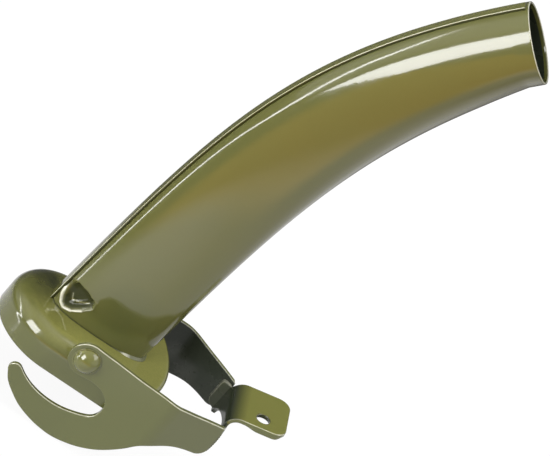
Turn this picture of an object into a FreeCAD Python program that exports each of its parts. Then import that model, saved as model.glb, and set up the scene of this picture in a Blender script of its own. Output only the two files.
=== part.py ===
import FreeCAD, Part
import os, math
from FreeCAD import Vector as V

# Clamp-on pouring spout for a steel fuel can. Millimetres, +Z up.
# Origin: centre of the mouth cup's open rim plane, on the hook lever's pivot plane.
# X runs from the hooks' open side towards the thumb tab, Y along the pivot axis,
# Z from the can's mouth into the spout. Left is -Y, right is +Y.
os.makedirs("parts", exist_ok=True)

# Mouth cup: stadium plan, round at -X, shallow arc at +X
CUP_HALF_W = 30.0
CUP_ROUND_X = -14.0             # centre of the round end
CUP_SHALLOW_X = 43.7            # crown of the shallow end
CUP_SHALLOW_R = 59.0
CUP_CORNER_R = 9.0              # corners of the shallow end
CUP_H = 19.2
CUP_SHEET = 1.3
SHOULDER_R = 9.2                # at the round end and along the sides
SHOULDER_SHALLOW_R = 2.6        # at the shallow end
SHOULDER_BLEND_X = (8.0, 38.0)  # where one shoulder radius changes to the other

# Spout tube
TUBE_SHEET = 1.0
OUTLET_X, OUTLET_Z = 70.0, 274.84
OUTLET_LEAN = 0.68              # from +Z, radians
OUTLET_STRAIGHT = 8.0           # straight round length
OUTLET_R = 19.39
BORE_L = 7.5                    # length of the true round bore
BORE_STOCK = 0.3                # left inside the outlet for the bore to cut away
OUTLET_DIR = (math.sin(OUTLET_LEAN), math.cos(OUTLET_LEAN))
# centreline control points (x, z)
TUBE_PATH = [
    (1.25, 19.2), (9.4, 136.26), (12.3, 187.7),
    (OUTLET_X - OUTLET_STRAIGHT * OUTLET_DIR[0], OUTLET_Z - OUTLET_STRAIGHT * OUTLET_DIR[1]),
]
# control values of the half widths, from foot to outlet
TUBE_HALF_IN_PLANE = (26.7, 26.3, 28.1, OUTLET_R)
TUBE_HALF_Y = (10.0, 15.0, OUTLET_R)
TUBE_SQUARENESS = (2.64, 2.0)   # superellipse exponent, foot and outlet
TUBE_STATIONS = [0.0, 0.05, 0.12, 0.2, 0.3, 0.4, 0.5, 0.6, 0.7, 0.8, 0.88, 0.94, 1.0]
OUTLET_STATIONS = (1.0, 2.5, 4.0, 5.5, 7.0, OUTLET_STRAIGHT)    # distances past the curve

# Seam strip on the tube's outer curve
STRIP_W, STRIP_T = 5.6, 1.2
STRIP_SINK = 0.9                # depth into the tube before trimming
STRIP_END = 1.5                 # stops this far short of the outlet

# Gasket, retainer, strainer
GASKET_Z0, GASKET_Z1, GASKET_W = 4.8, 8.8, 9.0
BEAD_H = 0.7
RETAINER_T = 1.2
CUP_CEILING = CUP_H - CUP_SHEET
FRAME_T = 2.2
GAUZE_T = 0.8
GAUZE_PITCH_X, GAUZE_PITCH_Y, GAUZE_HOLE_R = 3.6, 3.1, 1.15
GAUZE_FIELD = (23.8, 8.6)       # half widths of the perforated oval
GAUZE_MARGIN = 0.7              # solid gauze left round the breather

# Breather tube and its clips
BREATHER_R, BREATHER_BORE_R = 3.4, 2.7
BREATHER_GAP = 0.6              # to the tube's inner wall
BREATHER_Z0 = 2.5
BREATHER_START, BREATHER_END = 0.02, 0.70   # along the tube's curve
CLIP_AT = (0.16, 0.55)          # along the tube's curve
CLIP_L, CLIP_HALF_W, CLIP_WALL = 7.0, 5.6, 1.0
CLIP_PAD = (1.0, 5.5)           # pad's extent from the breather's axis towards the wall
CLIP_GAP = 0.15                 # to the tube's wall

# Hook plates
PLATE_IN, PLATE_T = 31.0, 2.3   # inner face's distance from the middle, thickness
# plan line of a plate's inner face (x, distance from the middle), and its corner radii
PLATE_PLAN = [(-60.0, PLATE_IN), (12.0, PLATE_IN), (47.5, 33.3), (76.3, 19.5)]
PLATE_PLAN_R = (60.0, 14.0)
PLATE_HOLE_R = 3.20             # running clearance on the shank
TAIL_X = 76.8
EAR_R = 9.3
# side outline (x, z): lower edge from the hook's tip to the tail
LOWER_EDGE = [
    (-27.0, -8.2), (-23.2, -13.8), (-17.7, -18.3), (-10.8, -22.5), (-2.0, -25.5),
    (5.0, -26.7), (11.0, -26.9), (17.0, -25.7), (23.6, -23.4), (30.0, -19.9),
    (35.4, -15.6), (41.1, -9.6), (46.5, -2.9), (53.9, 1.2), (60.0, 3.4), (66.0, 4.0),
    (72.3, 3.7),
]
# upper edge from the tail, up to where the ear starts
UPPER_EDGE = [
    (TAIL_X - 1.0, 23.6), (68.0, 24.6), (60.0, 25.4), (51.0, 26.5), (42.0, 27.4),
    (28.0, 27.4), (15.0, 27.8), (7.0, 28.1),
]
# from below the ear down to the hook's throat
THROAT_EDGE = [
    (5.0, 10.6), (10.0, 10.9), (14.8, 9.8), (18.6, 7.2), (20.6, 4.6), (21.2, 2.2),
]
# inside of the hook, from the throat to the tip
HOOK_EDGE = [
    (21.2, 2.2), (20.9, -1.6), (18.7, -5.3), (13.0, -8.4), (6.0, -10.4),
    (-0.5, -10.9), (-6.8, -10.4), (-12.8, -8.9), (-17.9, -6.6), (-22.0, -3.9),
]
HOOK_TIP = (-25.9, -4.0)

# Tab bracket
BRACKET_T = 2.3
TAB_HALF_W, TAB_RISE = 15.5, math.radians(12.6)
TAB_TOP_X, TAB_TOP_Z = 103.6, 34.1      # top edge of the tab's free end
TAB_BEND_R = 8.0
TAB_CORNER_R = 6.5
TAB_HOLE_R, TAB_HOLE_X, TAB_HOLE_Y = 3.4, 91.5, -7.0
LIP_W, LIP_H = 2.0, 1.3                 # turned-down side edges of the tab
LIP_OVERLAP = 0.3                       # sunk into the tab
WALL_X, WALL_LOW = 75.6, 5.0            # cross wall's inner face and foot
BLANK_HALF_W = 21.0                     # before trimming to the front view
FLANGE_X = 71.4
# off-centre arch in the wall's foot (y, z)
ARCH = [
    (15.0, 3.0), (13.4, 8.0), (10.5, 10.6), (6.0, 13.4), (0.6, 16.0),
    (-6.0, 18.2), (-12.0, 19.4), (-15.5, 19.0), (-16.8, 17.0), (-16.8, 3.0),
]
# side flange (x, z)
FLANGE = [
    (FLANGE_X, 8.2), (FLANGE_X, 21.2), (WALL_X + 1.0, 21.5), (WALL_X + 1.0, WALL_LOW),
    (FLANGE_X + 1.5, WALL_LOW + 0.6),
]

# Pivots: distances along Y are from the middle
PIVOT_Z = 19.3                          # axis height, at x = 0
SHANK_R = 3.15
LUG_IN, LUG_OUT, LUG_R, LUG_FOOT_HALF = 27.7, 30.4, 6.6, 5.2
LUG_FOOT_DROP = 1.5                     # foot's depth below the round
COUNTERSINK = 1.2                       # depth and extra radius
SPACER_R, SPACER_T = 6.6, 0.5
HEAD_WASHER_R, HEAD_WASHER_T = 7.2, 0.5
WASHER_CLEARANCE = 0.02
PLATE_GAP = 0.05                        # plate to head washer
HEAD_WASHER_IN = PLATE_IN + PLATE_T + PLATE_GAP
DOME_IN = HEAD_WASHER_IN + HEAD_WASHER_T
DOME_R, DOME_H = 6.5, 4.6

REACH = 60.0                            # past the plates in Y and below them in Z


# ---------------------------------------------------------------- shared helpers
def save(shape, name, refine=True):
    if refine:
        # guards against the refinement failing; the shape is then kept unrefined
        try:
            shape = shape.removeSplitter()
        except Exception:
            pass
    if not shape.isValid():
        shape.fix(1e-4, 1e-4, 1e-3)
    solids = shape.Solids
    result = solids[0] if len(solids) == 1 else Part.makeCompound(solids)
    result.exportStep("parts/%s.step" % name)


def mirrored(shape):
    return shape.mirror(V(0, 0, 0), V(0, 1, 0))


def save_pair(left, name):
    save(left, name + "_left")
    save(mirrored(left), name + "_right")


def largest(shape):
    return max(shape.Solids, key=lambda solid: solid.Volume)


def polygon(points):
    return Part.makePolygon(points + [points[0]])


def prism(points, direction):
    return Part.Face(polygon(points)).extrude(direction)


def arc(start, middle, end):
    return Part.Arc(start, middle, end).toShape()


def closed_spline(points):
    curve = Part.BSplineCurve()
    curve.interpolate(Points=points, PeriodicFlag=True)
    return Part.Wire([curve.toShape()])


def superellipse(centre, normal, half_n, half_y, exponent, count=40):
    """Closed curve round centre (x, z), spanned by normal (x, z) and Y."""
    power = 2.0 / exponent
    points = []
    for i in range(count):
        angle = 2 * math.pi * i / count
        cosine, sine = math.cos(angle), math.sin(angle)
        along = math.copysign(abs(cosine) ** power, cosine) * half_n
        y = math.copysign(abs(sine) ** power, sine) * half_y
        points.append(V(centre[0] + normal[0] * along, y, centre[1] + normal[1] * along))
    return closed_spline(points)


# ---------------------------------------------------------------- cup plan
def cup_plan(inset):
    """Driving values of the cup's plan moved inwards; the corner centres are (corner_x, +-corner_y)
    and each corner meets the shallow arc at the angle +-join."""
    half_w = CUP_HALF_W - inset
    shallow_r = CUP_SHALLOW_R - inset
    corner_r = max(CUP_CORNER_R - inset, 0.6)
    centre_x = CUP_SHALLOW_X - inset - shallow_r
    corner_y = half_w - corner_r
    reach_x = math.sqrt((shallow_r - corner_r) ** 2 - corner_y ** 2)
    join = math.atan2(corner_y, reach_x)
    return half_w, shallow_r, corner_r, centre_x, centre_x + reach_x, corner_y, join


def stadium(inset, z0, z1):
    """Upright block with the cup's plan moved inwards."""
    half_w, shallow_r, corner_r, centre_x, corner_x, corner_y, join = cup_plan(inset)
    middle = (math.pi / 2 + join) / 2

    def at(x, y):
        return V(x, y, z0)

    join_x, join_y = centre_x + shallow_r * math.cos(join), shallow_r * math.sin(join)
    middle_x = corner_x + corner_r * math.cos(middle)
    middle_y = corner_y + corner_r * math.sin(middle)
    edges = [
        arc(at(CUP_ROUND_X, half_w), at(CUP_ROUND_X - half_w, 0), at(CUP_ROUND_X, -half_w)),
        Part.makeLine(at(CUP_ROUND_X, -half_w), at(corner_x, -half_w)),
        arc(at(corner_x, -half_w), at(middle_x, -middle_y), at(join_x, -join_y)),
        arc(at(join_x, -join_y), at(CUP_SHALLOW_X - inset, 0), at(join_x, join_y)),
        arc(at(join_x, join_y), at(middle_x, middle_y), at(corner_x, half_w)),
        Part.makeLine(at(corner_x, half_w), at(CUP_ROUND_X, half_w)),
    ]
    return Part.Face(Part.Wire(edges)).extrude(V(0, 0, z1 - z0))


def plan_points():
    """Points round the cup's plan (x, y, angle of the outward normal)."""
    half_w, shallow_r, corner_r, centre_x, corner_x, corner_y, join = cup_plan(0.0)
    quarter = math.pi / 2
    points = []

    def add_arc(x, y, radius, angle):
        points.append((x + radius * math.cos(angle), y + radius * math.sin(angle), angle))

    for i in range(29):                                  # round end
        add_arc(CUP_ROUND_X, 0.0, half_w, quarter + math.pi * i / 28)
    for i in range(1, 12):                               # side at -Y
        points.append((CUP_ROUND_X + (corner_x - CUP_ROUND_X) * i / 12.0, -half_w, -quarter))
    for i in range(10):                                  # corner at -Y
        add_arc(corner_x, -corner_y, corner_r, -quarter + (quarter - join) * i / 10.0)
    for i in range(13):                                  # shallow end
        add_arc(centre_x, 0.0, shallow_r, -join + 2 * join * i / 12.0)
    for i in range(1, 11):                               # corner at +Y
        add_arc(corner_x, corner_y, corner_r, join + (quarter - join) * i / 10.0)
    for i in range(1, 12):                               # side at +Y
        points.append((corner_x + (CUP_ROUND_X - corner_x) * i / 12.0, half_w, quarter))
    return points


def shoulder_radius(x):
    start, end = SHOULDER_BLEND_X
    blend = min(1.0, max(0.0, (x - start) / (end - start)))
    blend = blend * blend * (3 - 2 * blend)
    return SHOULDER_R + (SHOULDER_SHALLOW_R - SHOULDER_R) * blend


def domed_block(inset, z0, z1):
    """Cup body moved inwards; z1 is the flat top, the shoulder radius varies round the plan."""
    plan = plan_points()
    largest_r = SHOULDER_R - inset
    spring_z = z1 - largest_r
    levels = [z0 + (spring_z - z0) * part for part in (0.0, 0.2, 0.4, 0.6, 0.75, 0.88, 0.96)]
    for degrees in (0, 14, 27, 39, 50, 60, 69, 77, 84, 90):
        levels.append(z1 - largest_r * (1 - math.sin(math.radians(degrees))))
    wires = []
    for z in levels:
        loop = []
        for x, y, angle in plan:
            radius = max(shoulder_radius(x) - inset, 0.8)
            rise = z - (z1 - radius)
            depth = inset
            if rise > 0:
                depth = inset + radius - math.sqrt(max(radius ** 2 - min(rise, radius) ** 2, 0.0))
            loop.append(V(x - depth * math.cos(angle), y - depth * math.sin(angle), z))
        wires.append(closed_spline(loop))
    return Part.makeLoft(wires, True, False)


# ---------------------------------------------------------------- tube curve
def cubic(values, t):
    weights = ((1 - t) ** 3, 3 * (1 - t) ** 2 * t, 3 * (1 - t) * t * t, t ** 3)
    return sum(weight * value for weight, value in zip(weights, values))


def quadratic(values, t):
    return (1 - t) ** 2 * values[0] + 2 * t * (1 - t) * values[1] + t * t * values[2]


def tube_centre(t):
    return cubic([p[0] for p in TUBE_PATH], t), cubic([p[1] for p in TUBE_PATH], t)


def tube_direction(t):
    if t <= 0.0:
        return 0.0, 1.0
    step = 1e-4
    before, after = tube_centre(max(t - step, 0)), tube_centre(min(t + step, 1))
    dx, dz = after[0] - before[0], after[1] - before[1]
    length = math.hypot(dx, dz)
    # squared off to the cup's top at the foot
    blend = max(0.0, 1.0 - t / 0.12)
    dx, dz = dx / length * (1 - blend), dz / length * (1 - blend) + blend
    # turned to the outlet's lean at the end
    blend = max(0.0, (t - 0.9) / 0.1)
    dx = dx * (1 - blend) + OUTLET_DIR[0] * blend
    dz = dz * (1 - blend) + OUTLET_DIR[1] * blend
    length = math.hypot(dx, dz)
    return dx / length, dz / length


def tube_frame(t):
    """Centre, normal towards the outer curve and direction, each (x, z); in-plane half width."""
    dx, dz = tube_direction(t)
    return tube_centre(t), (-dz, dx), (dx, dz), cubic(TUBE_HALF_IN_PLANE, t)


def tube_point(t, out, along=0.0):
    """Point (x, z) moved from the centreline towards the outer curve and along the tube."""
    centre, normal, direction, _ = tube_frame(t)
    return (centre[0] + normal[0] * out + direction[0] * along,
            centre[1] + normal[1] * out + direction[1] * along)


def tube_section(t, inset, along=0.0):
    _, normal, _, half_in_plane = tube_frame(t)
    half_y = quadratic(TUBE_HALF_Y, t)
    exponent = TUBE_SQUARENESS[0] * (1 - t) + TUBE_SQUARENESS[1] * t
    return superellipse(tube_point(t, 0.0, along), normal,
                        half_in_plane - inset, half_y - inset, exponent)


def tube_body(inset, extend=0.0):
    """Solid inside the tube's skin moved inwards, lengthened by extend at both ends."""
    outlet_inset = inset + (BORE_STOCK if inset else 0.0)
    wires = [tube_section(0.0, inset, -extend)] if extend else []
    wires += [tube_section(t, inset) for t in TUBE_STATIONS]
    distances = OUTLET_STATIONS + ((OUTLET_STRAIGHT + extend,) if extend else ())
    wires += [tube_section(1.0, outlet_inset, distance) for distance in distances]
    return Part.makeLoft(wires, True, False)


# ---------------------------------------------------------------- tube, strip and cup
def make_tube(outer, inner):
    start = V(OUTLET_X - BORE_L * OUTLET_DIR[0], 0, OUTLET_Z - BORE_L * OUTLET_DIR[1])
    bore = Part.makeCylinder(OUTLET_R - TUBE_SHEET, BORE_L + 4.0, start,
                             V(OUTLET_DIR[0], 0, OUTLET_DIR[1]))
    return outer.cut(inner).cut(bore)


def strip_section(t, along=0.0):
    """Rectangle across Y on the tube's outer-curve crest."""
    half_in_plane = tube_frame(t)[3]
    corners = ((-STRIP_SINK, -STRIP_W / 2), (-STRIP_SINK, STRIP_W / 2),
               (STRIP_T, STRIP_W / 2), (STRIP_T, -STRIP_W / 2))
    points = []
    for out, y in corners:
        x, z = tube_point(t, half_in_plane + out, along)
        points.append(V(x, y, z))
    return polygon(points)


def make_strip(outer):
    wires = [strip_section(i / 24.0) for i in range(25)]
    wires.append(strip_section(1.0, OUTLET_STRAIGHT - STRIP_END))
    strip = Part.makeLoft(wires, True, False)
    above_cup = Part.makeBox(400, 200, 400, V(-150, -100, CUP_H))
    return largest(strip.common(above_cup).cut(outer))


def make_cup(cup_block, tube_inner):
    return cup_block.cut(domed_block(CUP_SHEET, -1.0, CUP_CEILING)).cut(tube_inner)


# ---------------------------------------------------------------- gasket and retainer
def make_gasket():
    ring = stadium(CUP_SHEET + 0.25, GASKET_Z0, GASKET_Z1)
    ring = ring.cut(stadium(CUP_SHEET + GASKET_W, GASKET_Z0 - 1, GASKET_Z1 + 1))
    # raised bead round the lower face
    bead = stadium(CUP_SHEET + GASKET_W * 0.35, GASKET_Z0 - BEAD_H, GASKET_Z0)
    bead = bead.cut(stadium(CUP_SHEET + GASKET_W * 0.65, GASKET_Z0 - 1, GASKET_Z0 + 1))
    return ring.fuse(bead)


def make_retainer():
    ring = stadium(CUP_SHEET + 0.15, GASKET_Z1, GASKET_Z1 + RETAINER_T)
    return ring.cut(stadium(CUP_SHEET + GASKET_W - 1.0, GASKET_Z1 - 1, GASKET_Z1 + 3))


# ---------------------------------------------------------------- strainer
def oval_block(half_x, half_y, z0, z1):
    """Upright block with the squareness and centre of the tube's foot."""
    wire = superellipse((TUBE_PATH[0][0], z0), (-1.0, 0.0), half_x, half_y, TUBE_SQUARENESS[0])
    return Part.Face(wire).extrude(V(0, 0, z1 - z0))


def make_strainer_frame():
    opening = oval_block(25.6, 9.6, CUP_CEILING - FRAME_T - 1, CUP_CEILING + 1)
    return oval_block(31.0, 14.6, CUP_CEILING - FRAME_T, CUP_CEILING).cut(opening)


def make_gauze():
    top = CUP_CEILING - FRAME_T
    centre_x = TUBE_PATH[0][0]
    breather_x = breather_point(0.0)[0]
    holes = []
    for i in range(-8, 9):
        for j in range(-3, 4):
            # odd rows are staggered by half a pitch
            x = centre_x + i * GAUZE_PITCH_X + (GAUZE_PITCH_X / 2 if j % 2 else 0)
            y = j * GAUZE_PITCH_Y
            across, along = abs(x - centre_x) / GAUZE_FIELD[0], abs(y) / GAUZE_FIELD[1]
            if across ** 2.6 + along ** 2.6 > 1.0:
                continue
            if math.hypot(x - breather_x, y) < BREATHER_R + GAUZE_HOLE_R + GAUZE_MARGIN:
                continue
            holes.append(Part.makeCylinder(GAUZE_HOLE_R, GAUZE_T + 2,
                                           V(x, y, top - GAUZE_T - 1)))
    gauze = oval_block(30.2, 13.8, top - GAUZE_T, top).cut(Part.makeCompound(holes))
    breather_hole = Part.makeCylinder(BREATHER_R + 0.1, 10, V(breather_x, 0, CUP_CEILING - 8))
    return gauze.cut(breather_hole)


# ---------------------------------------------------------------- breather and clips
def breather_point(t, along=0.0):
    """Breather's axis (x, z), just inside the tube's outer-curve wall."""
    out = tube_frame(t)[3] - TUBE_SHEET - BREATHER_R - BREATHER_GAP
    return tube_point(t, out, along)


def breather_body(radius, extend=0.0):
    def circle(centre, normal):
        return superellipse(centre, normal, radius, radius, 2.0, count=24)

    foot_x = breather_point(0.0)[0]
    wires = [circle((foot_x, z), (-1.0, 0.0)) for z in (BREATHER_Z0 - extend, 12.0)]
    steps = 12
    for i in range(steps + 1):
        t = BREATHER_START + (BREATHER_END - BREATHER_START) * i / steps
        along = extend if i == steps else 0.0
        wires.append(circle(breather_point(t, along), tube_frame(t)[1]))
    return Part.makeLoft(wires, True, False)


def make_clip(t, breather_outer):
    """Saddle clip between the breather and the tube's outer-curve wall."""
    _, normal, direction, _ = tube_frame(t)
    x, z = breather_point(t)
    direction, normal = V(direction[0], 0, direction[1]), V(normal[0], 0, normal[1])
    start = V(x, 0, z) - direction * (CLIP_L / 2)
    clip = Part.makeCylinder(BREATHER_R + CLIP_WALL, CLIP_L, start, direction)
    near, far = CLIP_PAD
    corners = ((-CLIP_HALF_W, near), (CLIP_HALF_W, near), (CLIP_HALF_W, far), (-CLIP_HALF_W, far))
    pad = prism([start + V(0, y, 0) + normal * out for y, out in corners], direction * CLIP_L)
    clip = clip.fuse(pad).cut(breather_outer)
    # keep what lies inside the tube's bore, less the clearance
    wires = [tube_section(t + step, TUBE_SHEET + CLIP_GAP)
             for step in (-0.05, -0.025, 0.0, 0.025, 0.05)]
    return largest(clip.common(Part.makeLoft(wires, True, False)))


# ---------------------------------------------------------------- hook plates
def plate_plan_path(offset):
    """Plan line moved outwards: point pairs are lines, triples are arcs."""
    lines = []
    for (x0, y0), (x1, y1) in zip(PLATE_PLAN[:-1], PLATE_PLAN[1:]):
        length = math.hypot(x1 - x0, y1 - y0)
        ux, uy = (x1 - x0) / length, (y1 - y0) / length
        lines.append((x0 - uy * offset, y0 + ux * offset, ux, uy))
    path = []
    point = lines[0][:2]
    for (x0, y0, ux, uy), (x1, y1, vx, vy), corner_r in zip(lines[:-1], lines[1:], PLATE_PLAN_R):
        cross = ux * vy - uy * vx
        distance = ((x1 - x0) * vy - (y1 - y0) * vx) / cross
        corner_x, corner_y = x0 + ux * distance, y0 + uy * distance
        turn = math.atan2(cross, ux * vx + uy * vy)
        side = 1.0 if turn > 0 else -1.0
        radius = corner_r - side * offset
        setback = radius * math.tan(abs(turn) / 2)
        start = (corner_x - ux * setback, corner_y - uy * setback)
        end = (corner_x + vx * setback, corner_y + vy * setback)
        centre_x, centre_y = start[0] - uy * radius * side, start[1] + ux * radius * side
        mx, my = (start[0] + end[0]) / 2 - centre_x, (start[1] + end[1]) / 2 - centre_y
        length = math.hypot(mx, my)
        middle = (centre_x + mx / length * radius, centre_y + my / length * radius)
        path += [(point, start), (start, middle, end)]
        point = end
    x0, y0, ux, uy = lines[-1]
    path.append((point, (x0 + ux * 60, y0 + uy * 60)))
    return path


def plate_band(offset0, offset1):
    """Upright band between two offsets of the plan line, on the -Y side."""
    def at(point):
        return V(point[0], -point[1], -REACH)

    first, second = plate_plan_path(offset0), plate_plan_path(offset1)
    edges = []
    for piece in first + second:
        build = Part.makeLine if len(piece) == 2 else arc
        edges.append(build(*[at(point) for point in piece]))
    edges.append(Part.makeLine(at(first[0][0]), at(second[0][0])))
    edges.append(Part.makeLine(at(first[-1][1]), at(second[-1][1])))
    return Part.Face(Part.Wire(Part.__sortEdges__(edges))).extrude(V(0, 0, 140))


def make_plate():
    def at(point):
        return V(point[0], 0, point[1])

    def spline(points):
        curve = Part.BSplineCurve()
        curve.interpolate(Points=[at(point) for point in points])
        return curve.toShape()

    def ear(degrees):
        angle = math.radians(degrees)
        return EAR_R * math.cos(angle), PIVOT_Z + EAR_R * math.sin(angle)

    tail_low, tail_high = (TAIL_X, 7.2), (TAIL_X, 22.6)
    ear_top, ear_low = ear(80), ear(275)
    edges = [
        spline(LOWER_EDGE),
        arc(at(LOWER_EDGE[-1]), V(75.0, 0, 4.7), at(tail_low)),
        Part.makeLine(at(tail_low), at(tail_high)),
        arc(at(tail_high), V(TAIL_X - 0.3, 0, 23.3), at(UPPER_EDGE[0])),
        spline(UPPER_EDGE + [ear_top]),
        arc(at(ear_top), at(ear(178)), at(ear_low)),
        spline([ear_low] + THROAT_EDGE),
        spline(HOOK_EDGE),
        arc(at(HOOK_EDGE[-1]), at(HOOK_TIP), at(LOWER_EDGE[0])),
    ]
    profile = Part.Face(Part.Wire(Part.__sortEdges__(edges)))
    profile.translate(V(0, -REACH, 0))
    plate = profile.extrude(V(0, REACH, 0)).common(plate_band(0.0, PLATE_T))
    hole = Part.makeCylinder(PLATE_HOLE_R, 80, V(0, -REACH, PIVOT_Z), V(0, 1, 0))
    return largest(plate.cut(hole))


# ---------------------------------------------------------------- tab bracket
TAB_DIR = (math.cos(TAB_RISE), math.sin(TAB_RISE))
TAB_NORMAL = (-math.sin(TAB_RISE), math.cos(TAB_RISE))


def tab_top_z(x):
    """Height of the tab's top line at x."""
    return TAB_TOP_Z + (x - TAB_TOP_X) / TAB_DIR[0] * TAB_DIR[1]


def bracket_blank():
    """Cross wall, large bend and thumb tab rising outwards, at full width."""
    bend_x = WALL_X + TAB_BEND_R
    bend_z = tab_top_z(bend_x) - TAB_BEND_R / TAB_DIR[0]
    start, end = math.pi, math.pi / 2 + TAB_RISE

    def at(x, z):
        return V(x, -BLANK_HALF_W, z)

    def face_points(depth):
        radius = TAB_BEND_R - depth
        bend = [at(bend_x + radius * math.cos(angle), bend_z + radius * math.sin(angle))
                for angle in (start, (start + end) / 2, end)]
        tip = at(TAB_TOP_X - TAB_NORMAL[0] * depth, TAB_TOP_Z - TAB_NORMAL[1] * depth)
        return [at(WALL_X + depth, WALL_LOW)] + bend + [tip]

    top, under = face_points(0.0), face_points(BRACKET_T)
    edges = [
        Part.makeLine(top[0], top[1]),
        arc(top[1], top[2], top[3]),
        Part.makeLine(top[3], top[4]),
        Part.makeLine(top[4], under[4]),
        Part.makeLine(under[4], under[3]),
        arc(under[3], under[2], under[1]),
        Part.makeLine(under[1], under[0]),
        Part.makeLine(under[0], top[0]),
    ]
    return Part.Face(Part.Wire(edges)).extrude(V(0, 2 * BLANK_HALF_W, 0))


def front_limits():
    """Front view: between the plates low down, drawn in to the tab's width above."""
    (x0, y0), (x1, y1) = PLATE_PLAN[-2:]
    wall_half = y0 + (y1 - y0) * (WALL_X + BRACKET_T - x0) / (x1 - x0) - 0.3
    half = [(wall_half, WALL_LOW), (wall_half, 19.5), (TAB_HALF_W, 23.5), (TAB_HALF_W, 60)]
    outline = [V(-20, -y, z) for y, z in half] + [V(-20, y, z) for y, z in reversed(half)]
    return prism(outline, V(200, 0, 0))


def tab_lip(y):
    def at(x, depth):
        drop = BRACKET_T - LIP_OVERLAP + depth
        return V(x - TAB_NORMAL[0] * drop, y, tab_top_z(x) - TAB_NORMAL[1] * drop)

    depth = LIP_H + LIP_OVERLAP
    return prism([at(86.0, 0), at(104.2, 0), at(104.2, depth), at(92.0, depth)], V(0, LIP_W, 0))


def tab_corner_cutter(side):
    """What lies outside the rounded free corner of the tab on the given side of Y."""
    size = TAB_CORNER_R + 2
    cutter = Part.makeBox(size, size, 20, V(0, 0 if side > 0 else -size, -10))
    cutter = cutter.cut(Part.makeCylinder(TAB_CORNER_R, 24, V(0, 0, -12)))
    cutter.rotate(V(0, 0, 0), V(0, 1, 0), -math.degrees(TAB_RISE))
    cutter.translate(V(TAB_TOP_X - TAB_CORNER_R * TAB_DIR[0],
                       side * (TAB_HALF_W - TAB_CORNER_R),
                       TAB_TOP_Z - TAB_CORNER_R * TAB_DIR[1]))
    return cutter


def make_bracket(plate):
    bracket = bracket_blank().common(front_limits())
    for y in (-TAB_HALF_W, TAB_HALF_W - LIP_W):
        bracket = bracket.fuse(tab_lip(y))
    bracket = bracket.cut(prism([V(WALL_X - 4, y, z) for y, z in ARCH], V(12, 0, 0)))
    # side flanges that lie on the plates' inner faces
    flange = prism([V(x, -REACH, z) for x, z in FLANGE], V(0, REACH, 0))
    flange = flange.common(plate_band(-BRACKET_T, 0.0))
    bracket = bracket.fuse([flange, mirrored(flange)])
    bracket = largest(bracket.cut(Part.makeCompound([plate, mirrored(plate)])))
    hole_start = V(TAB_HOLE_X - TAB_NORMAL[0] * 10, TAB_HOLE_Y,
                   tab_top_z(TAB_HOLE_X) - TAB_NORMAL[1] * 10)
    hole = Part.makeCylinder(TAB_HOLE_R, 20, hole_start, V(TAB_NORMAL[0], 0, TAB_NORMAL[1]))
    bracket = bracket.cut(hole)
    for side in (-1, 1):
        bracket = bracket.cut(tab_corner_cutter(side))
    return largest(bracket)


# ---------------------------------------------------------------- pivots, on the -Y side
def pivot_cylinder(radius, y0, y1):
    """Cylinder on the pivot axis between distances y0 < y1 from the middle."""
    return Part.makeCylinder(radius, y1 - y0, V(0, -y0, PIVOT_Z), V(0, -1, 0))


def countersink():
    return Part.makeCone(SHANK_R + COUNTERSINK, SHANK_R, COUNTERSINK,
                         V(0, -LUG_IN, PIVOT_Z), V(0, -1, 0))


def make_lug(cup_block):
    """Round-topped plate standing on the cup's shoulder."""
    foot_h = LUG_R + LUG_FOOT_DROP
    foot = Part.makeBox(2 * LUG_FOOT_HALF, LUG_OUT - LUG_IN, foot_h,
                        V(-LUG_FOOT_HALF, -LUG_OUT, PIVOT_Z - foot_h))
    lug = pivot_cylinder(LUG_R, LUG_IN, LUG_OUT).fuse(foot)
    lug = lug.cut(pivot_cylinder(SHANK_R, LUG_IN - 1, LUG_OUT + 1))
    return largest(lug.cut(countersink()).cut(cup_block))


def make_washer(radius, y0, thickness):
    disc = pivot_cylinder(radius, y0, y0 + thickness)
    return disc.cut(pivot_cylinder(SHANK_R + WASHER_CLEARANCE, 0, 60))


def make_rivet(cup_block):
    """Shank with a domed outer head and a countersunk inner end."""
    sphere_r = (DOME_R ** 2 + DOME_H ** 2) / (2 * DOME_H)
    sphere = Part.makeSphere(sphere_r, V(0, -(DOME_IN + DOME_H - sphere_r), PIVOT_Z))
    dome = sphere.common(pivot_cylinder(DOME_R + 1, DOME_IN, DOME_IN + DOME_H + 1))
    rivet = dome.fuse(pivot_cylinder(SHANK_R, LUG_IN, DOME_IN + 0.5)).fuse(countersink())
    return largest(rivet.cut(cup_block))


# ---------------------------------------------------------------- build
tube_outer = tube_body(0.0)
tube_inner = tube_body(TUBE_SHEET, 3.0)
cup_block = domed_block(0.0, 0.0, CUP_H)
breather_outer = breather_body(BREATHER_R)
plate = make_plate()

save(make_tube(tube_outer, tube_inner), "spout_tube", refine=False)
save(make_strip(tube_outer), "seam_strip")
save(make_cup(cup_block, tube_inner), "mouth_cup")
save(make_gasket(), "mouth_gasket")
save(make_retainer(), "gasket_retainer")
save(make_strainer_frame(), "strainer_frame")
save(make_gauze(), "strainer_gauze", refine=False)
save(breather_outer.cut(breather_body(BREATHER_BORE_R, 1.0)), "breather_tube")
save(Part.makeCompound([make_clip(t, breather_outer) for t in CLIP_AT]), "breather_clips")
save_pair(plate, "hook_plate")
save(make_bracket(plate), "lever_tab_bracket")
save_pair(make_lug(cup_block), "pivot_lug")
save_pair(make_washer(SPACER_R, LUG_OUT, SPACER_T), "spacer_washer")
save_pair(make_washer(HEAD_WASHER_R, HEAD_WASHER_IN, HEAD_WASHER_T), "head_washer")
save_pair(make_rivet(cup_block), "pivot_rivet")
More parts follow.
